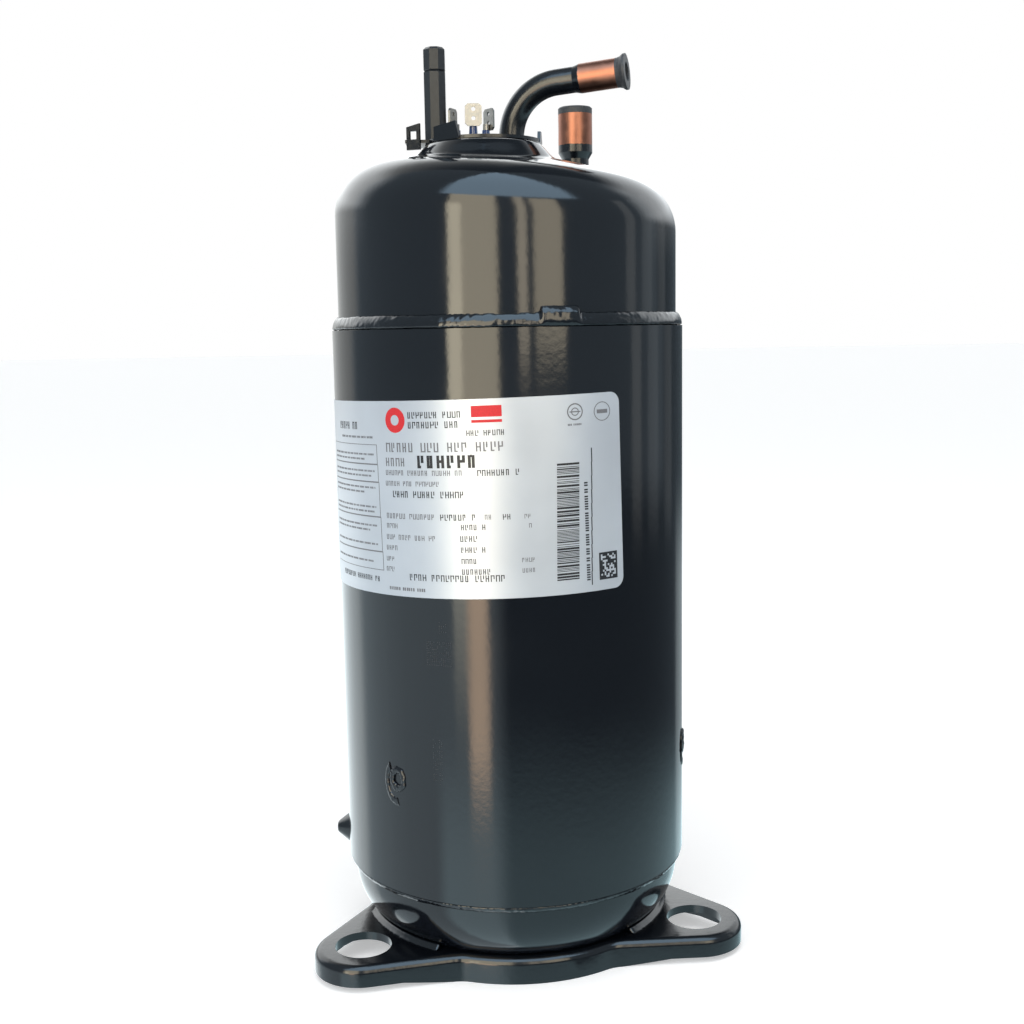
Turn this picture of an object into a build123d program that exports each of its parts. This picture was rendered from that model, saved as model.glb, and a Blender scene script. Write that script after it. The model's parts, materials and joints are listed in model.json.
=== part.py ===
from build123d import *
import os
from math import atan2, cos, degrees, pi, radians, sin, sqrt, tan

os.makedirs("parts", exist_ok=True)

# Hermetic rolling-piston refrigeration compressor with its suction accumulator.
# Millimetres, +Z up. The origin is the centre of the three-foot hole circle on the shell axis, on the
# underside of the foot plate. Azimuth 0 faces -Y (the side with the rating label's right-hand edge)
# and grows towards +X.

# ---- hermetic shell ----
shell_radius = 69.85
shell_wall = 2.6
shell_base_z = 27.2
shell_height = 213.9
cap_wall = 2.8
cap_overlap = 10.0
crown_radius = 190.0
crown_offset = -14.0
crown_rise = 67.5
crown_corner = 20.0
pad_rise = 1.6
pad_radius = 22.0
pad_flare = 8.0
pad_drop = 9.0
pad_fillet = 5.0
bottom_cap_depth = 29.2
bottom_cap_corner = 24.0
weld_height = 3.3
weld_lump_height = 4.6
weld_lump_azimuth = 10.0
weld_lump_arc = 12.0
weld_bulge = 0.62
lump_bulge = 0.8
plug_weld_radius = 4.0
plug_weld_recess = 0.3
plug_weld_rise = 5.0
plug_weld_azimuths = (-39.5, 80.5, 200.5)
stub_radius = 7.4
stub_height = 5.8
stub_taper = 38.0
stub_nose_fillet = 1.5
stub_seat = 1.0
stub_azimuth = -92.0
stub_rise = 5.0

# ---- foot plate ----
foot_sheet = 3.2
foot_rim_depth = 7.2
foot_ear_rim_depth = 4.9
foot_pitch_beyond_shell = 7.15
foot_hole_radius = 11.0
foot_ear_radius = 19.0
foot_flank_angle = 25.0
foot_flank_run = 34.0
foot_disc_inside_shell = 7.85
foot_waist_fillet = 14.0
foot_bend_radius = 3.0
foot_azimuths = (-51.5, 68.5, 188.5)
foot_weld_leg = 5.5
foot_weld_rise = 7.2
foot_weld_throat = 3.2
foot_weld_root = 3.0
foot_weld_arc = 44.0

# ---- rating plate ----
label_thickness = 0.2
label_low_edge = 117.4
label_height = 72.0
label_start_azimuth = -118.0
label_end_azimuth = 35.5
label_corner = 4.0

# ---- discharge line ----
discharge_x = 3.0
discharge_y = 4.0
discharge_pipe_radius = 5.0
discharge_pipe_wall = 1.0
discharge_heading = -16.0
discharge_bend_rise = 7.5
discharge_bend_radius = 20.0
discharge_rise_angle = 4.5
discharge_run = 24.4
discharge_bell_radius = 5.6
discharge_bell_bore = 4.8
discharge_bell_length = 17.0
discharge_socket_depth = 13.0
discharge_inner_drop = 24.0
pipe_collar_wall = 2.2
pipe_gap = 0.5
pipe_collar_height = 3.0
pipe_collar_root = 4.0
plug_clearance = 0.05
plug_head_radius = 6.8
plug_head_thickness = 0.9
plug_neck_length = 0.6
plug_flare_length = 2.4
plug_hollow_radius = 3.6
plug_hollow_depth = 2.6
plug_spigot_relief = 3.0

# ---- terminal group on the crown ----
terminal_x = -12.2
terminal_y = -17.0
terminal_radius = 9.7
terminal_face_rise = 3.8
terminal_depth = 12.0
terminal_wall = 1.0
terminal_deck = 3.2
pin_land = 0.2
pin_radius = 1.15
pin_inner_length = 16.0
glass_radius = 2.0
glass_sleeve_height = 4.0
glass_sleeve_wall = 0.55
glass_sleeve_taper = 3.0
pin_stub = 2.2
blade_width = 6.3
blade_thickness = 0.8
blade_length = 8.2
blade_corner = 1.0
blade_hole_drops = (2.0, 5.4)
blade_hole_radius = 0.8
pin_azimuths = (6.0, 126.0, 246.0)
bracket_x = -8.0
bracket_y = -12.0
bracket_radius = 22.5
bracket_sheet = 1.2
bracket_rise = 2.4
bracket_neck_radius = 15.0
bracket_root = 8.0
bracket_tab_reach = 7.0
bracket_tab_width = 15.0
fence_height = 5.2
fence_width = 11.5
fence_azimuth = -38.0
ear_width = 5.4
ear_height = 9.6
ear_drop = 2.6
ear_window = 2.8
ear_border = 1.6
ear_azimuth = -20.0
ear_slope = 1.2
hook_azimuth = 82.0
hook_width = 7.0
hook_height = 4.2
hook_tip = 1.2
hook_tail = 2.0
fence_lean = 1.0
fence_fall = 1.2
post_x = -26.1
post_y = -14.0
post_across_flats = 8.1
post_top_rise = 38.5
post_cap_length = 8.8
post_spigot_radius = 2.5
post_spigot_length = 8.0
post_cap_chamfer = 0.9
post_edge = 0.4
post_spigot_gap = 0.5

# ---- suction accumulator ----
accumulator_azimuth = 163.3
accumulator_gap = 8.15
accumulator_radius = 40.0
accumulator_wall = 1.8
accumulator_base_rise = 69.8
accumulator_seam_drop = 59.1
accumulator_top_rise = 50.9
accumulator_head = 22.0
accumulator_lap = 6.0
inlet_neck_radius = 6.35
inlet_wall = 1.0
inlet_depth = 28.0
inlet_bell_rise = 28.6
inlet_flare = 3.0
inlet_bell_radius = 8.1
inlet_bell_wall = 0.9
inlet_top_rise = 49.5
inlet_plug_head = 3.2
inlet_plug_depth = 11.0
inlet_plug_chamfer = 0.6
screen_drop = 34.0
screen_thickness = 0.8
screen_hole_radius = 4.0
standpipe_drop = 46.0
suction_pipe_radius = 7.94
suction_pipe_wall = 1.0
suction_bend_radius = 24.0
bracket_height = 24.0
bracket_width = 30.0
channel_wall = 2.5
channel_depth = 18.0
channel_side = 4.0
strap_drop = 32.0
strap_thickness = 1.2
strap_height = 16.0
strap_gap = 5.0
strap_ear_length = 12.0
strap_screw_radius = 2.5
strap_nut_radius = 4.6
strap_head_height = 3.5
strap_nut_height = 4.0
strap_screw_end = 2.0

# ---- pump ----
pump_base_rise = 22.0
cylinder_height = 36.0
cylinder_bore_radius = 33.0
eccentricity = 7.0
roller_bore_margin = 1.0
running_clearance = 0.03
bearing_clearance = 0.02
shaft_radius = 10.0
journal_step = 1.0
eccentric_margin = 0.5
shaft_chamfer = 0.8
shaft_foot = 4.0
shaft_oil_reach = 0.7
cross_drill_radius = 1.3
cross_drill_over_main = 6.0
cross_drill_under_sub = 3.0
bearing_flange_radius = 56.0
bearing_flange_thickness = 10.0
main_hub_wall = 6.5
main_hub_length = 28.0
sub_hub_wall = 6.0
sub_hub_length = 20.0
vane_azimuth = 135.0
vane_thickness = 3.2
vane_length = 24.0
vane_nose = 1.2
eccentric_lead = 135.0
vane_spring_hole_radius = 4.6
vane_spring_radius = 3.5
vane_spring_wire = 0.4
vane_spring_turns = 6
vane_spring_gap = 0.2
vane_slot_relief = 1.0
suction_port_radius = 6.4
suction_port_start = 52.0
discharge_port_azimuth = 120.0
discharge_port_circle = 28.5
discharge_port_radius = 4.2
reed_thickness = 0.4
reed_width = 7.6
reed_length = 27.0
reed_tip_radius = 5.6
reed_gap = 0.02
retainer_thickness = 1.6
retainer_start_gap = 0.5
retainer_angle = 4.6
rivet_radius = 2.0
rivet_clearance = 0.3
rivet_from_end = 4.5
rivet_grip = 6.0
rivet_head_margin = 1.2
rivet_head_height = 1.4
rivet_head_taper = 20.0
bolt_circle = 50.0
bolt_radius = 2.5
bolt_head_radius = 4.25
bolt_head_height = 4.0
bolt_grip = 13.0
bolt_socket_radius = 2.2
bolt_azimuths = (187.0, 259.0, 331.0, 43.0, 115.0)
oil_return_circle = 61.0
oil_return_radius = 3.5
oil_return_azimuths = (223.0, 295.0, 7.0, 79.0)
muffler_sheet = 1.2
muffler_height = 14.0
muffler_radius = 44.5
muffler_vent_radius = 20.0
muffler_flange_margin = 0.5
muffler_chamfer = 3.0
bolt_socket_depth = 0.6

# ---- motor ----
stator_over_main_face = 33.0
stator_length = 85.0
stator_bore_radius = 36.0
slot_count = 24
slot_inner_radius = 38.5
slot_outer_radius = 55.0
slot_inner_width = 5.0
slot_outer_width = 8.4
slot_opening = 2.4
slot_liner = 0.35
stator_flat_depth = 1.4
stator_flat_count = 6
stator_flat_share = 0.38
air_gap = 0.5
end_winding_inner = 40.0
end_winding_outer = 57.0
end_winding_fillet = 5.0
upper_winding_height = 22.0
lower_winding_height = 15.0
end_ring_outer = 34.0
end_ring_inner = 23.5
end_ring_height = 6.0
rotor_vent_circle = 19.0
rotor_vent_radius = 3.0
rotor_vent_count = 6
rotor_rivet_count = 6
rotor_rivet_start = 30.0
rotor_rivet_circle = 29.0
rotor_rivet_radius = 1.8
rotor_rivet_head = 3.0
rotor_rivet_head_height = 1.2
balance_clearance = 1.0
balance_outer = 31.5
upper_balance_height = 11.0
lower_balance_height = 7.0
balance_arc = 160.0
shaft_over_rotor = 23.0
oil_bore_radius = 4.0
separator_radius = 30.0
separator_thickness = 1.0
separator_below_end = 3.0
paddle_thickness = 1.0
paddle_length = 42.0

# ---- leads ----
cluster_width = 24.0
cluster_height = 11.0
lead_radius = 1.3
lead_circle = 48.0
lead_bend = 7.0
protector_radius = 9.0
protector_height = 9.0
protector_fillet = 2.0
protector_azimuth = 60.0
cluster_gap = 0.5
cluster_fillet = 1.5
lead_slope = 2.0

# ---- sizes that follow from the ones above ----
shell_bore = shell_radius - shell_wall
shell_top_z = shell_base_z + shell_height
crown_apex_z = shell_top_z + crown_rise
pad_z = crown_apex_z + pad_rise
discharge_bend_z = crown_apex_z + discharge_bend_rise
terminal_face_z = crown_apex_z + terminal_face_rise
bracket_z = crown_apex_z + bracket_rise
post_top_z = crown_apex_z + post_top_rise
accumulator_base_z = shell_base_z + accumulator_base_rise
accumulator_seam_z = shell_top_z - accumulator_seam_drop
accumulator_top_z = shell_top_z + accumulator_top_rise
accumulator_offset = shell_radius + accumulator_gap + accumulator_radius
inlet_bottom_z = accumulator_top_z - inlet_depth
inlet_bell_z = accumulator_top_z + inlet_bell_rise
inlet_top_z = accumulator_top_z + inlet_top_rise
screen_z = accumulator_top_z - screen_drop
standpipe_top_z = accumulator_top_z - standpipe_drop
strap_z = shell_top_z - strap_drop
foot_pitch_radius = shell_radius + foot_pitch_beyond_shell
foot_disc_radius = shell_radius - foot_disc_inside_shell
bottom_cap_z = shell_base_z - bottom_cap_depth
eccentric_azimuth = vane_azimuth + eccentric_lead
pump_base_z = shell_base_z + pump_base_rise
pump_top_z = pump_base_z + cylinder_height
pump_mid_z = pump_base_z + cylinder_height / 2
main_face_z = pump_top_z + bearing_flange_thickness
sub_face_z = pump_base_z - bearing_flange_thickness
suction_z = pump_mid_z
plug_weld_z = pump_mid_z + plug_weld_rise
stator_base_z = main_face_z + stator_over_main_face
stator_top_z = stator_base_z + stator_length
rotor_radius = stator_bore_radius - air_gap
shaft_top_z = stator_top_z + shaft_over_rotor
shaft_foot_z = sub_face_z - sub_hub_length - shaft_foot
lower_journal_radius = shaft_radius - journal_step
roller_bore_radius = shaft_radius + eccentricity + roller_bore_margin
main_hub_radius = shaft_radius + main_hub_wall
sub_hub_radius = lower_journal_radius + sub_hub_wall
balance_inner = main_hub_radius + balance_clearance
roller_radius = cylinder_bore_radius - eccentricity - running_clearance
vane_tip_radius = cylinder_bore_radius + running_clearance
vane_tail_radius = vane_tip_radius + vane_length
pipe_inner_radius = discharge_pipe_radius - discharge_pipe_wall
glass_inner_z = terminal_face_z - terminal_deck
glass_sleeve_radius = pin_radius + glass_sleeve_wall
pin_circle_radius = terminal_radius - terminal_wall - glass_radius - pin_land


def at_azimuth(radius, azimuth):
    """Point on a circle about the shell axis."""
    return (radius * sin(radians(azimuth)), -radius * cos(radians(azimuth)))


def profile_plane(azimuth, center=(0, 0)):
    """Upright plane through a vertical axis: local x points outwards, local y is up."""
    out_x, out_y = at_azimuth(1, azimuth)
    return Plane(origin=(center[0], center[1], 0), x_dir=(out_x, out_y, 0), z_dir=(out_y, -out_x, 0))


def radial_plane(azimuth, z, radius=0.0, center=(0, 0)):
    """Plane facing outwards along an azimuth: local x runs with the azimuth, local y is up."""
    out_x, out_y = at_azimuth(1, azimuth)
    origin = (center[0] + radius * out_x, center[1] + radius * out_y, z)
    return Plane(origin=origin, x_dir=(-out_y, out_x, 0), z_dir=(out_x, out_y, 0))


def flat_plane(x, y, z, azimuth=90.0):
    """Level plane at a point, its local x turned to an azimuth."""
    out_x, out_y = at_azimuth(1, azimuth)
    return Plane(origin=(x, y, z), x_dir=(out_x, out_y, 0), z_dir=(0, 0, 1))


def crowned_blank(inset):
    """Solid of the top cap's outline, inset: a cylinder, an off-centre spherical crown and a raised pad."""
    radius = shell_bore - inset
    sphere_radius = crown_radius - inset
    corner = crown_corner - inset
    base_z = shell_top_z - cap_overlap
    sphere_z = crown_apex_z - crown_radius
    with BuildPart() as blank:
        with BuildSketch(Plane.XY.offset(base_z)):
            Circle(radius)
        extrude(amount=crown_apex_z - base_z)
        with Locations((crown_offset, 0, sphere_z)):
            Sphere(sphere_radius, mode=Mode.INTERSECT)
        rim = blank.edges().filter_by(GeomType.LINE, reverse=True).sort_by(Axis.Z)[1:]
        fillet(rim, corner)
        with BuildSketch(Plane.XY.offset(pad_z - inset)):
            with Locations((bracket_x, terminal_y)):
                Circle(pad_radius - inset / 2)
        extrude(amount=-pad_drop, taper=-degrees(atan2(pad_flare, pad_drop)))
        low = blank.edges().filter_by(lambda e: crown_apex_z - pad_drop < e.center().Z < pad_z - inset - 0.5)
        fillet(low, pad_fillet)
        fillet(blank.edges().group_by(Axis.Z)[-1], pad_fillet / 2)
    return blank.part


def bowl_blank(radius, corner, low_z, high_z):
    """Solid of the bottom cap's outline: a flat-bottomed bowl with a large corner."""
    with BuildPart() as blank:
        with BuildSketch(Plane.XY.offset(low_z)):
            Circle(radius)
        extrude(amount=high_z - low_z)
        fillet(blank.edges().group_by(Axis.Z)[0], corner)
    return blank.part


def drum(radius, low_z, high_z, center=(0, 0)):
    """Plain upright cylinder, for trimming other pieces."""
    with BuildPart() as blank:
        with BuildSketch(Plane.XY.offset(low_z)):
            with Locations(center):
                Circle(radius)
        extrude(amount=high_z - low_z)
    return blank.part


# =====================================================================================
# Hermetic shell
# =====================================================================================

crown_outside = crowned_blank(0)
crown_inside = crowned_blank(cap_wall)
bowl_outside = bowl_blank(shell_bore, bottom_cap_corner, bottom_cap_z, shell_base_z + cap_overlap)
bowl_inside = bowl_blank(
    shell_bore - cap_wall, bottom_cap_corner - cap_wall, bottom_cap_z + cap_wall, shell_base_z + cap_overlap
)
shell_outside = drum(shell_radius, 0, shell_top_z)
shell_inside = drum(shell_bore, 0, shell_top_z)

with BuildPart() as main_shell:
    with BuildSketch(Plane.XY.offset(shell_base_z)):
        Circle(shell_radius)
        Circle(shell_bore, mode=Mode.SUBTRACT)
    extrude(amount=shell_height)
    for azimuth in plug_weld_azimuths:
        with BuildSketch(radial_plane(azimuth, plug_weld_z)):
            Circle(plug_weld_radius)
        extrude(amount=shell_radius + 1, mode=Mode.SUBTRACT)
    with BuildSketch(radial_plane(accumulator_azimuth, suction_z)):
        Circle(suction_pipe_radius)
    extrude(amount=shell_radius + 1, mode=Mode.SUBTRACT)
main_shell.part.label = "main_shell"
export_step(main_shell.part, "parts/main_shell.step")

with BuildPart() as top_cap:
    add(crown_outside)
    add(crown_inside, mode=Mode.SUBTRACT)
    with BuildSketch(Plane.XY.offset(shell_top_z)):
        with Locations((terminal_x, terminal_y)):
            Circle(terminal_radius)
        with Locations((discharge_x, discharge_y)):
            Circle(discharge_pipe_radius)
    extrude(amount=crown_rise + pad_rise + 1, mode=Mode.SUBTRACT)
top_cap.part.label = "top_cap"
export_step(top_cap.part, "parts/top_cap.step")

with BuildPart() as bottom_cap:
    add(bowl_outside)
    add(bowl_inside, mode=Mode.SUBTRACT)
bottom_cap.part.label = "bottom_cap"
export_step(bottom_cap.part, "parts/bottom_cap.step")



def bead_section(azimuth, edge_z, height, bulge):
    """Convex fillet section between the shell's end face and a cap's wall; a negative height hangs down."""
    with BuildSketch(profile_plane(azimuth)) as section:
        with BuildLine():
            Polyline((shell_bore, edge_z + height), (shell_bore, edge_z), (shell_radius, edge_z))
            ThreePointArc(
                (shell_radius, edge_z),
                (shell_bore + shell_wall * bulge, edge_z + height * (bulge + 0.04)),
                (shell_bore, edge_z + height),
            )
        make_face()
    return section.sketch


# Closing welds: a bead all round each end of the shell; the upper one has a lump where its pass ends.
with BuildPart() as upper_weld_bead:
    add(bead_section(0, shell_top_z, weld_height, weld_bulge))
    revolve(axis=Axis.Z)
    add(bead_section(weld_lump_azimuth, shell_top_z, weld_lump_height, lump_bulge))
    revolve(axis=Axis.Z, revolution_arc=weld_lump_arc)
upper_weld_bead.part.label = "upper_weld_bead"
export_step(upper_weld_bead.part, "parts/upper_weld_bead.step")

with BuildPart() as lower_weld_bead:
    add(bead_section(0, shell_base_z, -weld_height, weld_bulge))
    revolve(axis=Axis.Z)
lower_weld_bead.part.label = "lower_weld_bead"
export_step(lower_weld_bead.part, "parts/lower_weld_bead.step")

# Plug welds fill three holes in the shell and fuse it to the pump's cylinder casting.
with BuildPart() as plug_welds:
    for azimuth in plug_weld_azimuths:
        with BuildSketch(radial_plane(azimuth, plug_weld_z)):
            Circle(plug_weld_radius)
        extrude(amount=shell_radius)
    add(drum(shell_radius - plug_weld_recess, 0, shell_top_z), mode=Mode.INTERSECT)
    add(shell_inside, mode=Mode.SUBTRACT)
plug_welds.part.label = "plug_welds"
export_step(plug_welds.part, "parts/plug_welds.step")

# Blanked oil-equaliser stub low on the side of the shell: a blunt cone welded over the hole.
with BuildPart() as equaliser_stub:
    with BuildSketch(radial_plane(stub_azimuth, shell_base_z + stub_rise, radius=shell_radius - stub_seat)):
        Circle(stub_radius)
    extrude(amount=stub_height + stub_seat, taper=stub_taper)
    fillet(equaliser_stub.faces().sort_by(Axis((0, 0, 0), (-1, 0, 0)))[-1].edges(), stub_nose_fillet)
    add(shell_outside, mode=Mode.SUBTRACT)
equaliser_stub.part.label = "equaliser_stub"
export_step(equaliser_stub.part, "parts/equaliser_stub.step")

# =====================================================================================
# Foot plate
# =====================================================================================

flank_tip_x = foot_pitch_radius + foot_ear_radius * sin(radians(foot_flank_angle))
flank_tip_y = foot_ear_radius * cos(radians(foot_flank_angle))
flank_root_x = flank_tip_x - foot_flank_run
flank_root_y = flank_tip_y + foot_flank_run * tan(radians(foot_flank_angle))

with BuildSketch() as foot_outline:
    Circle(foot_disc_radius)
    for azimuth in foot_azimuths:
        ear_x, ear_y = at_azimuth(foot_pitch_radius, azimuth)
        with Locations((ear_x, ear_y)):
            Circle(foot_ear_radius)
        with Locations(Location((0, 0, 0), (0, 0, azimuth - 90))):
            Polygon(
                (flank_tip_x, flank_tip_y),
                (flank_root_x, flank_root_y),
                (flank_root_x, -flank_root_y),
                (flank_tip_x, -flank_tip_y),
                align=None,
            )
    waists = [v for v in foot_outline.vertices() if abs(Vector(v).length - foot_disc_radius) < 0.01]
    fillet(waists, foot_waist_fillet)

with BuildSketch() as foot_hollow:
    add(foot_outline.sketch)
    offset(amount=-foot_sheet, mode=Mode.REPLACE)

with BuildPart() as base_plate:
    with BuildSketch(Plane.XY.offset(-foot_rim_depth)):
        add(foot_outline.sketch)
    extrude(amount=foot_rim_depth + foot_sheet)
    fillet(base_plate.faces().sort_by(Axis.Z)[-1].edges(), foot_bend_radius)
    with BuildSketch(Plane.XY.offset(-foot_rim_depth)):
        add(foot_hollow.sketch)
    extrude(amount=foot_rim_depth, mode=Mode.SUBTRACT)
    with BuildSketch(Plane.XY):
        for azimuth in foot_azimuths:
            with Locations(at_azimuth(foot_pitch_radius, azimuth)):
                Circle(foot_hole_radius)
    extrude(amount=foot_sheet, mode=Mode.SUBTRACT)
    with BuildSketch(profile_plane(0)):
        Polygon(
            (foot_disc_radius + 2, -foot_rim_depth),
            (foot_pitch_radius, -foot_ear_rim_depth),
            (foot_pitch_radius + 2 * foot_ear_radius, -foot_ear_rim_depth),
            (foot_pitch_radius + 2 * foot_ear_radius, -foot_rim_depth - 1),
            (foot_disc_radius + 2, -foot_rim_depth - 1),
            align=None,
        )
    revolve(axis=Axis.Z, mode=Mode.SUBTRACT)
    add(bowl_outside, mode=Mode.SUBTRACT)
base_plate.part.label = "base_plate"
export_step(base_plate.part, "parts/base_plate.step")

# Hollow fillet welds between the bottom cap and the root of each ear.
weld_root_radius = shell_bore - bottom_cap_corner + sqrt(
    bottom_cap_corner**2 - (bottom_cap_z + bottom_cap_corner - foot_sheet) ** 2
)
with BuildPart() as foot_welds:
    for azimuth in foot_azimuths:
        with BuildSketch(profile_plane(azimuth - foot_weld_arc / 2)):
            with BuildLine():
                Polyline(
                    (weld_root_radius + foot_weld_leg, foot_sheet),
                    (weld_root_radius - foot_weld_root, foot_sheet),
                    (weld_root_radius - foot_weld_root, foot_sheet + foot_weld_rise),
                    (weld_root_radius + foot_weld_throat, foot_sheet + foot_weld_rise),
                )
                ThreePointArc(
                    (weld_root_radius + foot_weld_throat, foot_sheet + foot_weld_rise),
                    (weld_root_radius + foot_weld_throat, foot_sheet + foot_weld_leg * 0.35),
                    (weld_root_radius + foot_weld_leg, foot_sheet),
                )
            make_face()
        revolve(axis=Axis.Z, revolution_arc=foot_weld_arc)
    add(bowl_outside, mode=Mode.SUBTRACT)
foot_welds.part.label = "foot_welds"
export_step(foot_welds.part, "parts/foot_welds.step")

with BuildPart() as nameplate:
    with BuildSketch(profile_plane(label_start_azimuth)):
        with Locations((shell_radius, shell_base_z + label_low_edge)):
            Rectangle(label_thickness, label_height, align=(Align.MIN, Align.MIN))
    revolve(axis=Axis.Z, revolution_arc=label_end_azimuth - label_start_azimuth)
    corners = nameplate.edges().filter_by(lambda edge: edge.length < label_thickness * 1.5)
    fillet(corners, label_corner)
nameplate.part.label = "nameplate"
export_step(nameplate.part, "parts/nameplate.step")

# =====================================================================================
# Discharge line
# =====================================================================================

heading_x = cos(radians(discharge_heading))
heading_y = sin(radians(discharge_heading))
discharge_plane = Plane(
    origin=(discharge_x, discharge_y, 0), x_dir=(heading_x, heading_y, 0), z_dir=(heading_y, -heading_x, 0)
)
discharge_low_z = shell_top_z + crown_rise - discharge_inner_drop
rise = radians(discharge_rise_angle)
bend_end_x = discharge_bend_radius * (1 - sin(rise))
bend_end_z = discharge_bend_z + discharge_bend_radius * cos(rise)
mouth_x = bend_end_x + discharge_run * cos(rise)
mouth_z = bend_end_z + discharge_run * sin(rise)
with BuildLine(discharge_plane) as discharge_path:
    upright = Line((0, discharge_low_z), (0, discharge_bend_z))
    bend = JernArc(upright @ 1, (0, 1), discharge_bend_radius, discharge_rise_angle - 90)
    Line(bend @ 1, (mouth_x, mouth_z))
mouth_origin = discharge_plane.from_local_coords(Vector(mouth_x, mouth_z, 0))
beyond_mouth = Vector(mouth_x + cos(rise), mouth_z + sin(rise), 0)
mouth_direction = discharge_plane.from_local_coords(beyond_mouth) - mouth_origin
mouth_plane = Plane(origin=mouth_origin, z_dir=mouth_direction)
mouth_axis = Axis(mouth_origin, mouth_direction)
mouth_side = mouth_direction.cross(Vector(0, 0, 1))
plug_section = Plane(origin=mouth_origin, x_dir=mouth_side, z_dir=mouth_side.cross(mouth_direction))
discharge_foot = Plane(origin=(discharge_x, discharge_y, discharge_low_z), z_dir=(0, 0, 1))

with BuildPart() as discharge_bell:
    with BuildSketch(mouth_plane):
        Circle(discharge_bell_radius)
    extrude(amount=-discharge_bell_length)
    chamfer(
        discharge_bell.faces().sort_by(mouth_axis)[0].edges(),
        length=(discharge_bell_radius - discharge_pipe_radius) * 4,
        length2=discharge_bell_radius - discharge_pipe_radius,
    )
with BuildPart() as discharge_tube:
    with BuildSketch(discharge_foot):
        Circle(discharge_pipe_radius)
    sweep(path=discharge_path.line)
    add(discharge_bell.part)
    with BuildSketch(discharge_foot):
        Circle(pipe_inner_radius)
    sweep(path=discharge_path.line, mode=Mode.SUBTRACT)
    with BuildSketch(mouth_plane):
        Circle(discharge_bell_bore)
    extrude(amount=-discharge_socket_depth, mode=Mode.SUBTRACT)
discharge_tube.part.label = "discharge_tube"
export_step(discharge_tube.part, "parts/discharge_tube.step")

# Brazed collar where the tube leaves the crown.
with BuildPart() as discharge_collar:
    with BuildSketch(Plane.XY.offset(crown_apex_z - pipe_collar_root)):
        with Locations((discharge_x, discharge_y)):
            Circle(discharge_pipe_radius + pipe_collar_wall)
            Circle(discharge_pipe_radius, mode=Mode.SUBTRACT)
    extrude(amount=pipe_collar_height + pipe_collar_root)
    fillet(discharge_collar.edges().group_by(Axis.Z)[-1].sort_by(SortBy.RADIUS)[-1], pipe_collar_wall * 0.8)
    add(crown_outside, mode=Mode.SUBTRACT)
discharge_collar.part.label = "discharge_collar"
export_step(discharge_collar.part, "parts/discharge_collar.step")

# Rubber shipping plug: a spigot in the tube's socket under a flared, hollow head.
flare_end = plug_neck_length + plug_flare_length
with BuildPart() as discharge_plug:
    with BuildSketch(plug_section):
        Polygon(
            (0, -(discharge_socket_depth - plug_spigot_relief)),
            (discharge_bell_bore - plug_clearance, -(discharge_socket_depth - plug_spigot_relief)),
            (discharge_bell_bore - plug_clearance, plug_clearance),
            (discharge_bell_radius, plug_clearance),
            (discharge_bell_radius, plug_neck_length),
            ((discharge_bell_radius + plug_head_radius) / 2 - 0.25, (plug_neck_length + flare_end) / 2),
            (plug_head_radius, flare_end),
            (plug_head_radius, flare_end + plug_head_thickness),
            (plug_hollow_radius, flare_end + plug_head_thickness),
            (plug_hollow_radius, flare_end + plug_head_thickness - plug_hollow_depth),
            (0, flare_end + plug_head_thickness - plug_hollow_depth),
            align=None,
        )
    revolve(axis=mouth_axis)
discharge_plug.part.label = "discharge_plug"
export_step(discharge_plug.part, "parts/discharge_plug.step")

# =====================================================================================
# Terminal group on the crown
# =====================================================================================

terminal_low_z = terminal_face_z - terminal_depth
pin_spots = [
    (terminal_x + pin_circle_radius * sin(radians(a)), terminal_y - pin_circle_radius * cos(radians(a)))
    for a in pin_azimuths
]
with BuildPart() as terminal_body:
    with BuildSketch(Plane.XY.offset(terminal_low_z)):
        with Locations((terminal_x, terminal_y)):
            Circle(terminal_radius)
    extrude(amount=terminal_depth)
    fillet(terminal_body.edges().group_by(Axis.Z)[-1], 0.8)
    with BuildSketch(Plane.XY.offset(terminal_low_z)):
        with Locations((terminal_x, terminal_y)):
            Circle(terminal_radius - terminal_wall)
    extrude(amount=terminal_depth - terminal_deck, mode=Mode.SUBTRACT)
    with BuildSketch(Plane.XY.offset(terminal_low_z)):
        with Locations(*pin_spots):
            Circle(glass_radius)
    extrude(amount=terminal_depth, mode=Mode.SUBTRACT)
terminal_body.part.label = "terminal_body"
export_step(terminal_body.part, "parts/terminal_body.step")

with BuildPart() as terminal_glass_seals:
    for spot_x, spot_y in pin_spots:
        with BuildSketch(Plane.XY.offset(glass_inner_z)):
            with Locations((spot_x, spot_y)):
                Circle(glass_radius)
        extrude(amount=terminal_deck)
        with BuildSketch(Plane.XY.offset(terminal_face_z)):
            with Locations((spot_x, spot_y)):
                Circle(glass_sleeve_radius)
        extrude(amount=glass_sleeve_height, taper=glass_sleeve_taper)
        with BuildSketch(Plane.XY.offset(glass_inner_z)):
            with Locations((spot_x, spot_y)):
                Circle(pin_radius)
        extrude(amount=terminal_deck + glass_sleeve_height, mode=Mode.SUBTRACT)
terminal_glass_seals.part.label = "terminal_glass_seals"
export_step(terminal_glass_seals.part, "parts/terminal_glass_seals.step")

blade_low_z = terminal_face_z + glass_sleeve_height
with BuildPart() as terminal_pins:
    for spot_x, spot_y in pin_spots:
        with BuildSketch(Plane.XY.offset(glass_inner_z - pin_inner_length)):
            with Locations((spot_x, spot_y)):
                Circle(pin_radius)
        extrude(amount=blade_low_z + pin_stub - glass_inner_z + pin_inner_length)
terminal_pins.part.label = "terminal_pins"
export_step(terminal_pins.part, "parts/terminal_pins.step")

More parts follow.
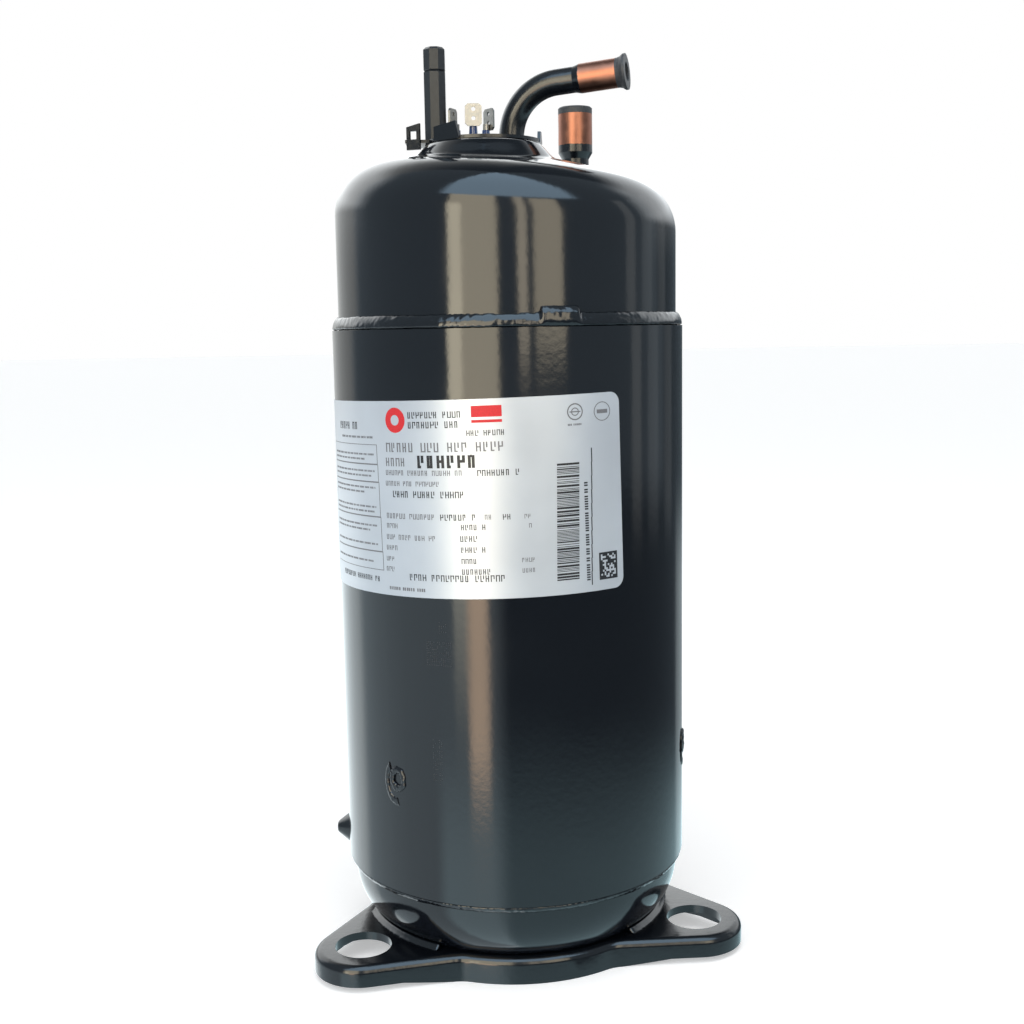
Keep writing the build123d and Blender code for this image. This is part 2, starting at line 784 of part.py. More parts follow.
# Spade blades welded flat against the outer side of each pin, facing away from the circle's centre.
with BuildPart() as terminal_blades:
    for azimuth in pin_azimuths:
        blade_plane = radial_plane(
            azimuth, blade_low_z, radius=pin_circle_radius + pin_radius, center=(terminal_x, terminal_y)
        )
        with BuildSketch(blade_plane) as blade_face:
            Rectangle(blade_width, blade_length, align=(Align.CENTER, Align.MIN))
            chamfer(blade_face.vertices().group_by(Axis.Z)[-1], blade_corner)
            with Locations(*[(0, blade_length - drop) for drop in blade_hole_drops]):
                Circle(blade_hole_radius, mode=Mode.SUBTRACT)
        extrude(amount=blade_thickness)
terminal_blades.part.label = "terminal_blades"
export_step(terminal_blades.part, "parts/terminal_blades.step")

# Sheet bracket round the terminal, which the plastic cover and its gasket clip to.
post_radius = post_across_flats / 2 / cos(radians(22.5))
with BuildPart() as terminal_bracket:
    with BuildSketch(Plane.XY.offset(bracket_z)):
        with Locations((bracket_x, bracket_y)):
            Circle(bracket_radius)
        with Locations((bracket_x, post_y)):
            Rectangle(bracket_radius + bracket_tab_reach, bracket_tab_width, align=(Align.MAX, Align.CENTER))
        with Locations((terminal_x, terminal_y)):
            Circle(terminal_radius, mode=Mode.SUBTRACT)
        with Locations((discharge_x, discharge_y)):
            Circle(discharge_pipe_radius + pipe_collar_wall + pipe_gap, mode=Mode.SUBTRACT)
        with Locations((post_x, post_y)):
            Circle(post_radius, mode=Mode.SUBTRACT)
    extrude(amount=bracket_sheet)
    with BuildSketch(Plane.XY.offset(crown_apex_z - bracket_root)):
        with Locations((terminal_x, terminal_y)):
            Circle(bracket_neck_radius)
            Circle(bracket_neck_radius - bracket_sheet, mode=Mode.SUBTRACT)
    extrude(amount=bracket_z - crown_apex_z + bracket_root)
    fence_plane = radial_plane(
        fence_azimuth, bracket_z, radius=bracket_radius - bracket_sheet, center=(bracket_x, bracket_y)
    )
    with BuildSketch(fence_plane):
        Polygon(
            (-fence_width / 2, 0),
            (fence_width / 2 + fence_lean, 0),
            (fence_width / 2 - fence_lean, fence_height + bracket_sheet),
            (-fence_width / 2, fence_height + bracket_sheet - fence_fall),
            align=None,
        )
    extrude(amount=bracket_sheet)
    ear_center = (bracket_x - bracket_radius - bracket_tab_reach / 2, post_y - bracket_tab_width / 2)
    with BuildSketch(radial_plane(ear_azimuth, bracket_z - ear_drop, center=ear_center)):
        Polygon(
            (-ear_width / 2, 0),
            (ear_width / 2, 0),
            (ear_width / 2, ear_height),
            (-ear_width / 2, ear_height - ear_slope),
            align=None,
        )
        with Locations((0, ear_drop + bracket_sheet)):
            Rectangle(
                ear_window,
                ear_height - ear_drop - bracket_sheet - ear_slope - ear_border,
                align=(Align.CENTER, Align.MIN),
                mode=Mode.SUBTRACT,
            )
    extrude(amount=bracket_sheet)
    hook_plane = radial_plane(
        hook_azimuth, bracket_z, radius=bracket_radius - bracket_sheet, center=(bracket_x, bracket_y)
    )
    with BuildSketch(hook_plane):
        Polygon(
            (-hook_width / 2, 0),
            (hook_width / 2, 0),
            (hook_tip, hook_height),
            (-hook_tail, hook_height),
            align=None,
        )
    extrude(amount=bracket_sheet)
    add(crown_outside, mode=Mode.SUBTRACT)
    post_drum = drum(post_radius, bracket_z - 2 * bracket_root, bracket_z + 1, center=(post_x, post_y))
    add(post_drum, mode=Mode.SUBTRACT)
terminal_bracket.part.label = "terminal_bracket"
export_step(terminal_bracket.part, "parts/terminal_bracket.step")

# Octagonal post that the terminal cover slides down over, with a separate screwed-on cap.
post_shoulder_z = post_top_z - post_cap_length
with BuildPart() as cover_post:
    with BuildSketch(Plane.XY.offset(crown_apex_z - bracket_root)):
        with Locations(Location((post_x, post_y, 0), (0, 0, 22.5))):
            RegularPolygon(post_radius, 8)
    extrude(amount=post_shoulder_z - crown_apex_z + bracket_root)
    chamfer(cover_post.edges().group_by(Axis.Z)[-1], post_edge)
    with BuildSketch(Plane.XY.offset(post_shoulder_z)):
        with Locations((post_x, post_y)):
            Circle(post_spigot_radius)
    extrude(amount=post_spigot_length)
    add(crown_outside, mode=Mode.SUBTRACT)
cover_post.part.label = "cover_post"
export_step(cover_post.part, "parts/cover_post.step")

with BuildPart() as post_cap:
    with BuildSketch(Plane.XY.offset(post_shoulder_z + plug_clearance)):
        with Locations(Location((post_x, post_y, 0), (0, 0, 22.5))):
            RegularPolygon(post_radius, 8)
    extrude(amount=post_cap_length - plug_clearance)
    chamfer(post_cap.edges().group_by(Axis.Z)[-1], post_cap_chamfer)
    chamfer(post_cap.edges().group_by(Axis.Z)[0], post_edge)
    with BuildSketch(Plane.XY.offset(post_shoulder_z)):
        with Locations((post_x, post_y)):
            Circle(post_spigot_radius + plug_clearance)
    extrude(amount=post_spigot_length + post_spigot_gap, mode=Mode.SUBTRACT)
post_cap.part.label = "post_cap"
export_step(post_cap.part, "parts/post_cap.step")

# =====================================================================================
# Suction accumulator and its pipe
# =====================================================================================

accumulator_center = at_azimuth(accumulator_offset, accumulator_azimuth)
accumulator_profile = profile_plane(accumulator_azimuth, accumulator_center)
inner_radius = accumulator_radius - accumulator_wall
inner_head = accumulator_head - accumulator_wall
accumulator_axis = Axis((accumulator_center[0], accumulator_center[1], 0), (0, 0, 1))
upper_spring_z = accumulator_top_z - accumulator_head
lower_spring_z = accumulator_base_z + accumulator_head

with BuildPart() as accumulator_upper_shell:
    with BuildSketch(accumulator_profile):
        with BuildLine():
            Polyline(
                (0, accumulator_top_z),
                (0, accumulator_seam_z),
                (accumulator_radius, accumulator_seam_z),
                (accumulator_radius, upper_spring_z),
            )
            EllipticalCenterArc((0, upper_spring_z), accumulator_radius, accumulator_head, 0, arc_size=90)
        make_face()
        with BuildLine():
            Polyline(
                (0, accumulator_top_z - accumulator_wall),
                (0, accumulator_seam_z),
                (inner_radius, accumulator_seam_z),
                (inner_radius, upper_spring_z),
            )
            EllipticalCenterArc((0, upper_spring_z), inner_radius, inner_head, 0, arc_size=90)
        make_face(mode=Mode.SUBTRACT)
        with Locations((0, accumulator_top_z)):
            Rectangle(2 * inlet_neck_radius, 4 * accumulator_wall, mode=Mode.SUBTRACT)
    revolve(axis=accumulator_axis)
accumulator_upper_shell.part.label = "accumulator_upper_shell"
export_step(accumulator_upper_shell.part, "parts/accumulator_upper_shell.step")

with BuildPart() as accumulator_lower_shell:
    with BuildSketch(accumulator_profile):
        with BuildLine():
            Polyline(
                (0, accumulator_base_z),
                (0, accumulator_seam_z),
                (accumulator_radius, accumulator_seam_z),
                (accumulator_radius, lower_spring_z),
            )
            EllipticalCenterArc((0, lower_spring_z), accumulator_radius, accumulator_head, 270, arc_size=90)
        make_face()
        with BuildLine():
            Polyline(
                (0, accumulator_base_z + accumulator_wall),
                (0, accumulator_seam_z),
                (inner_radius, accumulator_seam_z),
                (inner_radius, lower_spring_z),
            )
            EllipticalCenterArc((0, lower_spring_z), inner_radius, inner_head, 270, arc_size=90)
        make_face(mode=Mode.SUBTRACT)
        with Locations((0, accumulator_base_z)):
            Rectangle(2 * suction_pipe_radius, 6 * accumulator_wall, mode=Mode.SUBTRACT)
        with Locations((inner_radius - accumulator_wall, accumulator_seam_z - accumulator_lap)):
            Rectangle(accumulator_wall, 2 * accumulator_lap, align=(Align.MIN, Align.MIN))
    revolve(axis=accumulator_axis)
accumulator_lower_shell.part.label = "accumulator_lower_shell"
export_step(accumulator_lower_shell.part, "parts/accumulator_lower_shell.step")

with BuildPart() as accumulator_inlet:
    with BuildSketch(accumulator_profile):
        Polygon(
            (inlet_neck_radius - inlet_wall, inlet_bottom_z),
            (inlet_neck_radius, inlet_bottom_z),
            (inlet_neck_radius, inlet_bell_z),
            (inlet_bell_radius, inlet_bell_z + inlet_flare),
            (inlet_bell_radius, inlet_top_z),
            (inlet_bell_radius - inlet_bell_wall, inlet_top_z),
            (inlet_bell_radius - inlet_bell_wall, inlet_bell_z + inlet_flare),
            (inlet_neck_radius - inlet_wall, inlet_bell_z + 1.0),
            align=None,
        )
    revolve(axis=accumulator_axis)
accumulator_inlet.part.label = "accumulator_inlet"
export_step(accumulator_inlet.part, "parts/accumulator_inlet.step")

with BuildPart() as accumulator_screen:
    with BuildSketch(Plane.XY.offset(screen_z)):
        with Locations(accumulator_center):
            Circle(inner_radius)
            with PolarLocations(inner_radius * 0.72, 8):
                Circle(screen_hole_radius, mode=Mode.SUBTRACT)
            with PolarLocations(inner_radius * 0.36, 5):
                Circle(screen_hole_radius * 0.7, mode=Mode.SUBTRACT)
    extrude(amount=screen_thickness)
accumulator_screen.part.label = "accumulator_screen"
export_step(accumulator_screen.part, "parts/accumulator_screen.step")

suction_plane = profile_plane(accumulator_azimuth)
with BuildLine(suction_plane) as suction_path:
    FilletPolyline(
        (suction_port_start, suction_z),
        (accumulator_offset, suction_z),
        (accumulator_offset, standpipe_top_z),
        radius=suction_bend_radius,
    )
with BuildPart() as suction_pipe:
    with BuildSketch(radial_plane(accumulator_azimuth, suction_z, radius=suction_port_start)):
        Circle(suction_pipe_radius)
        Circle(suction_pipe_radius - suction_pipe_wall, mode=Mode.SUBTRACT)
    sweep(path=suction_path.line)
suction_pipe.part.label = "suction_pipe"
export_step(suction_pipe.part, "parts/suction_pipe.step")

# Brazed collar where the suction pipe enters the shell.
with BuildPart() as suction_collar:
    with BuildSketch(radial_plane(accumulator_azimuth, suction_z, radius=shell_radius - pipe_collar_root)):
        Circle(suction_pipe_radius + pipe_collar_wall)
        Circle(suction_pipe_radius, mode=Mode.SUBTRACT)
    extrude(amount=pipe_collar_height + pipe_collar_root)
    add(shell_outside, mode=Mode.SUBTRACT)
suction_collar.part.label = "suction_collar"
export_step(suction_collar.part, "parts/suction_collar.step")

with BuildPart() as suction_plug:
    with BuildSketch(accumulator_profile):
        Polygon(
            (0, inlet_top_z - inlet_plug_depth),
            (inlet_bell_radius - inlet_bell_wall - plug_clearance, inlet_top_z - inlet_plug_depth),
            (inlet_bell_radius - inlet_bell_wall - plug_clearance, inlet_top_z + plug_clearance),
            (inlet_bell_radius, inlet_top_z + plug_clearance),
            (inlet_bell_radius, inlet_top_z + inlet_plug_head - inlet_plug_chamfer),
            (inlet_bell_radius - inlet_plug_chamfer, inlet_top_z + inlet_plug_head),
            (0, inlet_top_z + inlet_plug_head),
            align=None,
        )
    revolve(axis=accumulator_axis)
suction_plug.part.label = "suction_plug"
export_step(suction_plug.part, "parts/suction_plug.step")

# Box-section bracket welded to the shell, and the strap that clamps the accumulator to it.
channel_hollow = accumulator_gap - 2 * channel_wall
bracket_mid = (shell_radius + accumulator_offset - accumulator_radius) / 2
with BuildPart() as accumulator_bracket:
    with BuildSketch(flat_plane(0, 0, strap_z - bracket_height / 2, accumulator_azimuth)):
        with Locations((bracket_mid, 0)):
            Rectangle(channel_depth, bracket_width)
            Rectangle(channel_hollow, bracket_width - 2 * channel_side, mode=Mode.SUBTRACT)
    extrude(amount=bracket_height)
    add(shell_outside, mode=Mode.SUBTRACT)
    add(
        drum(accumulator_radius + strap_thickness, 0, crown_apex_z, center=accumulator_center),
        mode=Mode.SUBTRACT,
    )
accumulator_bracket.part.label = "accumulator_bracket"
export_step(accumulator_bracket.part, "parts/accumulator_bracket.step")

ear_reach = accumulator_radius + strap_ear_length
with BuildPart() as accumulator_strap:
    with BuildSketch(flat_plane(*accumulator_center, strap_z - strap_height / 2, accumulator_azimuth)):
        Circle(accumulator_radius + strap_thickness)
        with Locations((accumulator_radius - 2, 0)):
            Rectangle(
                strap_ear_length + 2, strap_gap + 2 * strap_thickness, align=(Align.MIN, Align.CENTER)
            )
        with Locations((accumulator_radius - 3, 0)):
            Rectangle(strap_ear_length + 4, strap_gap, align=(Align.MIN, Align.CENTER), mode=Mode.SUBTRACT)
        Circle(accumulator_radius, mode=Mode.SUBTRACT)
    extrude(amount=strap_height)
    tangent_plane = radial_plane(accumulator_azimuth, strap_z, center=accumulator_center)
    screw_plane = Plane(
        origin=tangent_plane.origin + tangent_plane.z_dir * (accumulator_radius + strap_ear_length * 0.55)
        - tangent_plane.x_dir * strap_ear_length,
        z_dir=tangent_plane.x_dir,
    )
    with BuildSketch(screw_plane):
        Circle(strap_screw_radius)
    extrude(amount=2 * strap_ear_length, mode=Mode.SUBTRACT)
accumulator_strap.part.label = "accumulator_strap"
export_step(accumulator_strap.part, "parts/accumulator_strap.step")

ear_face = strap_gap / 2 + strap_thickness
nut_plane = screw_plane.offset(strap_ear_length + ear_face)
head_plane = screw_plane.offset(strap_ear_length - ear_face)
with BuildPart() as strap_screw:
    with BuildSketch(head_plane):
        RegularPolygon(strap_nut_radius, 6)
    extrude(amount=-strap_head_height)
    with BuildSketch(head_plane):
        Circle(strap_screw_radius)
    extrude(amount=2 * ear_face + strap_nut_height + strap_screw_end)
    with BuildSketch(nut_plane):
        RegularPolygon(strap_nut_radius, 6)
    extrude(amount=strap_nut_height)
strap_screw.part.label = "strap_screw"
export_step(strap_screw.part, "parts/strap_screw.step")

# =====================================================================================
# Pump: cylinder, crankshaft, roller, vane, bearings, valve and silencer
# =====================================================================================

eccentric_center = at_azimuth(eccentricity, eccentric_azimuth)
port_center = at_azimuth(discharge_port_circle, discharge_port_azimuth)
vane_plane = radial_plane(vane_azimuth, pump_mid_z)

with BuildPart() as cylinder:
    with BuildSketch(Plane.XY.offset(pump_base_z)):
        Circle(shell_bore)
        Circle(cylinder_bore_radius, mode=Mode.SUBTRACT)
        for azimuth in bolt_azimuths:
            with Locations(at_azimuth(bolt_circle, azimuth)):
                Circle(bolt_radius, mode=Mode.SUBTRACT)
        for azimuth in oil_return_azimuths:
            with Locations(at_azimuth(oil_return_circle, azimuth)):
                Circle(oil_return_radius, mode=Mode.SUBTRACT)
    extrude(amount=cylinder_height)
    with BuildSketch(vane_plane):
        Rectangle(vane_thickness + 2 * running_clearance, cylinder_height)
    extrude(amount=vane_tail_radius + vane_slot_relief, mode=Mode.SUBTRACT)
    with BuildSketch(radial_plane(vane_azimuth, pump_mid_z, radius=bolt_circle)):
        Circle(vane_spring_hole_radius)
    extrude(amount=shell_radius - bolt_circle, mode=Mode.SUBTRACT)
    with BuildSketch(radial_plane(accumulator_azimuth, suction_z)):
        Circle(suction_port_radius)
    extrude(amount=shell_radius, mode=Mode.SUBTRACT)
    with BuildSketch(radial_plane(accumulator_azimuth, suction_z, radius=suction_port_start)):
        Circle(suction_pipe_radius)
    extrude(amount=shell_radius - suction_port_start, mode=Mode.SUBTRACT)
cylinder.part.label = "cylinder"
export_step(cylinder.part, "parts/cylinder.step")

with BuildPart() as main_bearing:
    with BuildSketch(Plane.XY.offset(pump_top_z)):
        Circle(bearing_flange_radius)
    extrude(amount=bearing_flange_thickness)
    with BuildSketch(Plane.XY.offset(main_face_z)):
        Circle(main_hub_radius)
    extrude(amount=main_hub_length)
    with BuildSketch(Plane.XY.offset(pump_top_z)):
        Circle(shaft_radius + bearing_clearance)
        with Locations(port_center):
            Circle(discharge_port_radius)
        for azimuth in bolt_azimuths:
            with Locations(at_azimuth(bolt_circle, azimuth)):
                Circle(bolt_radius)
    extrude(amount=bearing_flange_thickness + main_hub_length, mode=Mode.SUBTRACT)
    reed_plane = Plane(
        origin=(port_center[0], port_center[1], main_face_z),
        x_dir=(-cos(radians(discharge_port_azimuth)), -sin(radians(discharge_port_azimuth)), 0),
        z_dir=(0, 0, 1),
    )
    with BuildSketch(reed_plane):
        with Locations((reed_length - rivet_from_end, 0)):
            Circle(rivet_radius)
    extrude(amount=-rivet_grip, mode=Mode.SUBTRACT)
main_bearing.part.label = "main_bearing"
export_step(main_bearing.part, "parts/main_bearing.step")

with BuildPart() as sub_bearing:
    with BuildSketch(Plane.XY.offset(sub_face_z)):
        Circle(bearing_flange_radius)
        for azimuth in bolt_azimuths:
            with Locations(at_azimuth(bolt_circle, azimuth)):
                Circle(bolt_radius, mode=Mode.SUBTRACT)
    extrude(amount=bearing_flange_thickness)
    with BuildSketch(Plane.XY.offset(sub_face_z)):
        Circle(sub_hub_radius)
    extrude(amount=-sub_hub_length)
    with BuildSketch(Plane.XY.offset(pump_base_z)):
        Circle(lower_journal_radius + bearing_clearance)
    extrude(amount=-(bearing_flange_thickness + sub_hub_length), mode=Mode.SUBTRACT)
sub_bearing.part.label = "sub_bearing"
export_step(sub_bearing.part, "parts/sub_bearing.step")

with BuildPart() as crankshaft:
    with BuildSketch(Plane.XY.offset(shaft_foot_z)):
        Circle(lower_journal_radius)
    extrude(amount=pump_base_z + eccentric_margin - shaft_foot_z)
    with BuildSketch(Plane.XY.offset(pump_base_z + eccentric_margin)):
        with Locations(eccentric_center):
            Circle(roller_bore_radius - running_clearance)
    extrude(amount=cylinder_height - 2 * eccentric_margin)
    with BuildSketch(Plane.XY.offset(pump_top_z - eccentric_margin)):
        Circle(shaft_radius)
    extrude(amount=shaft_top_z - pump_top_z + eccentric_margin)
    chamfer(crankshaft.edges().group_by(Axis.Z)[-1], shaft_chamfer)
    chamfer(crankshaft.edges().group_by(Axis.Z)[0], shaft_chamfer)
    with BuildSketch(Plane.XY.offset(shaft_foot_z)):
        Circle(oil_bore_radius)
    extrude(amount=main_face_z + main_hub_length * shaft_oil_reach - shaft_foot_z, mode=Mode.SUBTRACT)
    cross_drills = (
        (eccentric_azimuth + 180, main_face_z + cross_drill_over_main),
        (eccentric_azimuth + 180, pump_mid_z),
        (eccentric_azimuth, sub_face_z + cross_drill_under_sub),
    )
    for azimuth, height in cross_drills:
        with BuildSketch(radial_plane(azimuth, height)):
            Circle(cross_drill_radius)
        extrude(amount=eccentricity + roller_bore_radius, mode=Mode.SUBTRACT)
crankshaft.part.label = "crankshaft"
export_step(crankshaft.part, "parts/crankshaft.step")

with BuildPart() as roller:
    with BuildSketch(Plane.XY.offset(pump_base_z + running_clearance)):
        with Locations(eccentric_center):
            Circle(roller_radius)
            Circle(roller_bore_radius, mode=Mode.SUBTRACT)
    extrude(amount=cylinder_height - 2 * running_clearance)
roller.part.label = "roller"
export_step(roller.part, "parts/roller.step")

with BuildPart() as vane:
    with BuildSketch(radial_plane(vane_azimuth, pump_mid_z, radius=vane_tip_radius)):
        Rectangle(vane_thickness, cylinder_height - 2 * running_clearance)
    extrude(amount=vane_length)
    tip = vane.faces().sort_by(Axis((0, 0, 0), vane_plane.z_dir))[0]
    fillet(tip.edges().filter_by(Axis.Z), vane_nose)
vane.part.label = "vane"
export_step(vane.part, "parts/vane.step")

spring_length = shell_bore - vane_tail_radius - vane_spring_gap
with BuildPart() as vane_spring:
    spring_start = radial_plane(vane_azimuth, pump_mid_z, radius=vane_tail_radius + vane_spring_wire)
    with BuildLine():
        coil = Helix(
            pitch=(spring_length - 2 * vane_spring_wire) / vane_spring_turns,
            height=spring_length - 2 * vane_spring_wire,
            radius=vane_spring_radius,
            center=spring_start.origin,
            direction=spring_start.z_dir,
        )
    with BuildSketch(Plane(origin=coil @ 0, z_dir=coil % 0)):
        Circle(vane_spring_wire)
    sweep(path=coil, is_frenet=True)
vane_spring.part.label = "vane_spring"
export_step(vane_spring.part, "parts/vane_spring.step")

# Reed over the discharge port, its lift limiter and the rivet that holds both.
with BuildPart() as discharge_reed:
    with BuildSketch(reed_plane.offset(reed_gap)):
        Circle(reed_tip_radius)
        Rectangle(reed_length, reed_width, align=(Align.MIN, Align.CENTER))
        with Locations((reed_length - rivet_from_end, 0)):
            Circle(rivet_radius + rivet_clearance, mode=Mode.SUBTRACT)
    extrude(amount=reed_thickness)
discharge_reed.part.label = "discharge_reed"
export_step(discharge_reed.part, "parts/discharge_reed.step")

retainer_low = reed_gap + reed_thickness + retainer_start_gap
retainer_run = reed_length + reed_tip_radius
retainer_lift = retainer_low + retainer_run * tan(radians(retainer_angle))
side_plane = Plane(
    origin=reed_plane.origin + reed_plane.y_dir * (reed_width / 2),
    x_dir=reed_plane.x_dir,
    z_dir=-reed_plane.y_dir,
)
with BuildPart() as valve_retainer:
    with BuildSketch(side_plane):
        Polygon(
            (reed_length, retainer_low),
            (-reed_tip_radius, retainer_lift),
            (-reed_tip_radius, retainer_lift + retainer_thickness),
            (reed_length, retainer_low + retainer_thickness),
            align=None,
        )
    extrude(amount=reed_width)
    with BuildSketch(reed_plane):
        with Locations((reed_length - rivet_from_end, 0)):
            Circle(rivet_radius)
    extrude(amount=retainer_lift + retainer_thickness, mode=Mode.SUBTRACT)
valve_retainer.part.label = "valve_retainer"
export_step(valve_retainer.part, "parts/valve_retainer.step")

rivet_head_reach = rivet_from_end + rivet_radius + rivet_head_margin
rivet_head_z = retainer_low + retainer_thickness + rivet_head_reach * tan(radians(retainer_angle))
with BuildPart() as valve_rivet:
    with BuildSketch(reed_plane.offset(-rivet_grip)):
        with Locations((reed_length - rivet_from_end, 0)):
            Circle(rivet_radius)
    extrude(amount=rivet_grip + rivet_head_z)
    with BuildSketch(reed_plane.offset(rivet_head_z)):
        with Locations((reed_length - rivet_from_end, 0)):
            Circle(rivet_radius + rivet_head_margin)
    extrude(amount=rivet_head_height, taper=rivet_head_taper)
valve_rivet.part.label = "valve_rivet"
export_step(valve_rivet.part, "parts/valve_rivet.step")

muffler_top_z = main_face_z + muffler_height
with BuildPart() as discharge_muffler:
    with BuildSketch(profile_plane(0)):
        Polygon(
            (muffler_radius - muffler_sheet, main_face_z),
            (bearing_flange_radius - muffler_flange_margin, main_face_z),
            (bearing_flange_radius - muffler_flange_margin, main_face_z + muffler_sheet),
            (muffler_radius, main_face_z + muffler_sheet),
            (muffler_radius, muffler_top_z - muffler_chamfer),
            (muffler_radius - muffler_chamfer, muffler_top_z),
            (muffler_vent_radius, muffler_top_z),
            (muffler_vent_radius, muffler_top_z - muffler_sheet),
            (muffler_radius - muffler_chamfer - 0.5, muffler_top_z - muffler_sheet),
            (muffler_radius - muffler_sheet, muffler_top_z - muffler_chamfer - 0.5),
            align=None,
        )
    revolve(axis=Axis.Z)
    with BuildSketch(Plane.XY.offset(main_face_z)):
        for azimuth in bolt_azimuths:
            with Locations(at_azimuth(bolt_circle, azimuth)):
                Circle(bolt_radius)
    extrude(amount=muffler_sheet, mode=Mode.SUBTRACT)
discharge_muffler.part.label = "discharge_muffler"
export_step(discharge_muffler.part, "parts/discharge_muffler.step")


def bolt_ring(seat_z, grip, up):
    """Ring of socket screws whose heads stand on seat_z; up is 1 when the heads point upwards."""
    with BuildPart() as ring:
        for azimuth in bolt_azimuths:
            with BuildSketch(Plane.XY.offset(seat_z)):
                with Locations(at_azimuth(bolt_circle, azimuth)):
                    Circle(bolt_head_radius)
            extrude(amount=up * bolt_head_height)
            with BuildSketch(Plane.XY.offset(seat_z)):
                with Locations(at_azimuth(bolt_circle, azimuth)):
                    Circle(bolt_radius)
            extrude(amount=-up * grip)
            with BuildSketch(Plane.XY.offset(seat_z + up * bolt_head_height)):
                with Locations(at_azimuth(bolt_circle, azimuth)):
                    RegularPolygon(bolt_socket_radius, 6)
            extrude(amount=-up * bolt_head_height * bolt_socket_depth, mode=Mode.SUBTRACT)
    return ring


upper_bolts = bolt_ring(main_face_z + muffler_sheet, muffler_sheet + bearing_flange_thickness + bolt_grip, 1)
upper_bolts.part.label = "upper_bolts"
export_step(upper_bolts.part, "parts/upper_bolts.step")

lower_bolts = bolt_ring(sub_face_z, bearing_flange_thickness + bolt_grip, -1)
lower_bolts.part.label = "lower_bolts"
export_step(lower_bolts.part, "parts/lower_bolts.step")

# =====================================================================================
# Motor: stator with windings, rotor, balance weights, oil separator and paddle
# =====================================================================================


def slot_shape(inset):
    """Outline of one stator slot, drawn on the +X side, drawn in by the thickness of a liner."""
    half_inner = slot_inner_width / 2 - inset
    half_outer = slot_outer_width / 2 - inset
    return [
        (slot_inner_radius + inset, half_inner),
        (slot_outer_radius - inset, half_outer),
        (slot_outer_radius - inset, -half_outer),
        (slot_inner_radius + inset, -half_inner),
    ]


with BuildPart() as stator_core:
    with BuildSketch(Plane.XY.offset(stator_base_z)):
        Circle(shell_bore)
        with PolarLocations(0, stator_flat_count):
            with Locations((shell_bore - stator_flat_depth, 0)):
                Rectangle(
                    stator_flat_depth * 3,
                    shell_bore * stator_flat_share,
                    align=(Align.MIN, Align.CENTER),
                    mode=Mode.SUBTRACT,
                )
        Circle(stator_bore_radius, mode=Mode.SUBTRACT)
        with PolarLocations(0, slot_count):
            Polygon(*slot_shape(0), align=None, mode=Mode.SUBTRACT)
            with Locations((stator_bore_radius - 1, 0)):
                Rectangle(
                    slot_inner_radius - stator_bore_radius + 2,
                    slot_opening,
                    align=(Align.MIN, Align.CENTER),
                    mode=Mode.SUBTRACT,
                )
    extrude(amount=stator_length)
stator_core.part.label = "stator_core"
export_step(stator_core.part, "parts/stator_core.step")

with BuildPart() as slot_liners:
    with BuildSketch(Plane.XY.offset(stator_base_z)):
        with PolarLocations(0, slot_count):
            Polygon(*slot_shape(0), align=None)
            Polygon(*slot_shape(slot_liner), align=None, mode=Mode.SUBTRACT)
    extrude(amount=stator_length)
slot_liners.part.label = "slot_liners"
export_step(slot_liners.part, "parts/slot_liners.step")

with BuildPart() as slot_windings:
    with BuildSketch(Plane.XY.offset(stator_base_z)):
        with PolarLocations(0, slot_count):
            Polygon(*slot_shape(slot_liner), align=None)
    extrude(amount=stator_length)
slot_windings.part.label = "slot_windings"
export_step(slot_windings.part, "parts/slot_windings.step")


def end_winding(face_z, height, label):
    """Laced ring of coil ends standing on one face of the stator; a negative height hangs down."""
    with BuildPart() as ring:
        with BuildSketch(Plane.XY.offset(face_z)):
            Circle(end_winding_outer)
            Circle(end_winding_inner, mode=Mode.SUBTRACT)
        extrude(amount=height)
        far_face = ring.faces().sort_by(Axis.Z)[-1 if height > 0 else 0]
        fillet(far_face.edges(), end_winding_fillet)
    ring.part.label = label
    return ring


upper_end_winding = end_winding(stator_top_z, upper_winding_height, "upper_end_winding")
export_step(upper_end_winding.part, "parts/upper_end_winding.step")

lower_end_winding = end_winding(stator_base_z, -lower_winding_height, "lower_end_winding")
export_step(lower_end_winding.part, "parts/lower_end_winding.step")

with BuildPart() as rotor_core:
    with BuildSketch(Plane.XY.offset(stator_base_z)):
        Circle(rotor_radius)
        Circle(shaft_radius, mode=Mode.SUBTRACT)
        with PolarLocations(rotor_vent_circle, rotor_vent_count):
            Circle(rotor_vent_radius, mode=Mode.SUBTRACT)
        with PolarLocations(rotor_rivet_circle, rotor_rivet_count, start_angle=rotor_rivet_start):
            Circle(rotor_rivet_radius, mode=Mode.SUBTRACT)
    extrude(amount=stator_length)
rotor_core.part.label = "rotor_core"
export_step(rotor_core.part, "parts/rotor_core.step")


def end_ring(low_z, label):
    """Cast short-circuit ring of the rotor cage."""
    with BuildPart() as ring:
        with BuildSketch(Plane.XY.offset(low_z)):
            Circle(end_ring_outer)
            Circle(end_ring_inner, mode=Mode.SUBTRACT)
            with PolarLocations(rotor_rivet_circle, rotor_rivet_count, start_angle=rotor_rivet_start):
                Circle(rotor_rivet_radius, mode=Mode.SUBTRACT)
        extrude(amount=end_ring_height)
    ring.part.label = label
    return ring


rotor_upper_ring = end_ring(stator_top_z, "rotor_upper_ring")
export_step(rotor_upper_ring.part, "parts/rotor_upper_ring.step")

rotor_lower_ring = end_ring(stator_base_z - end_ring_height, "rotor_lower_ring")
export_step(rotor_lower_ring.part, "parts/rotor_lower_ring.step")


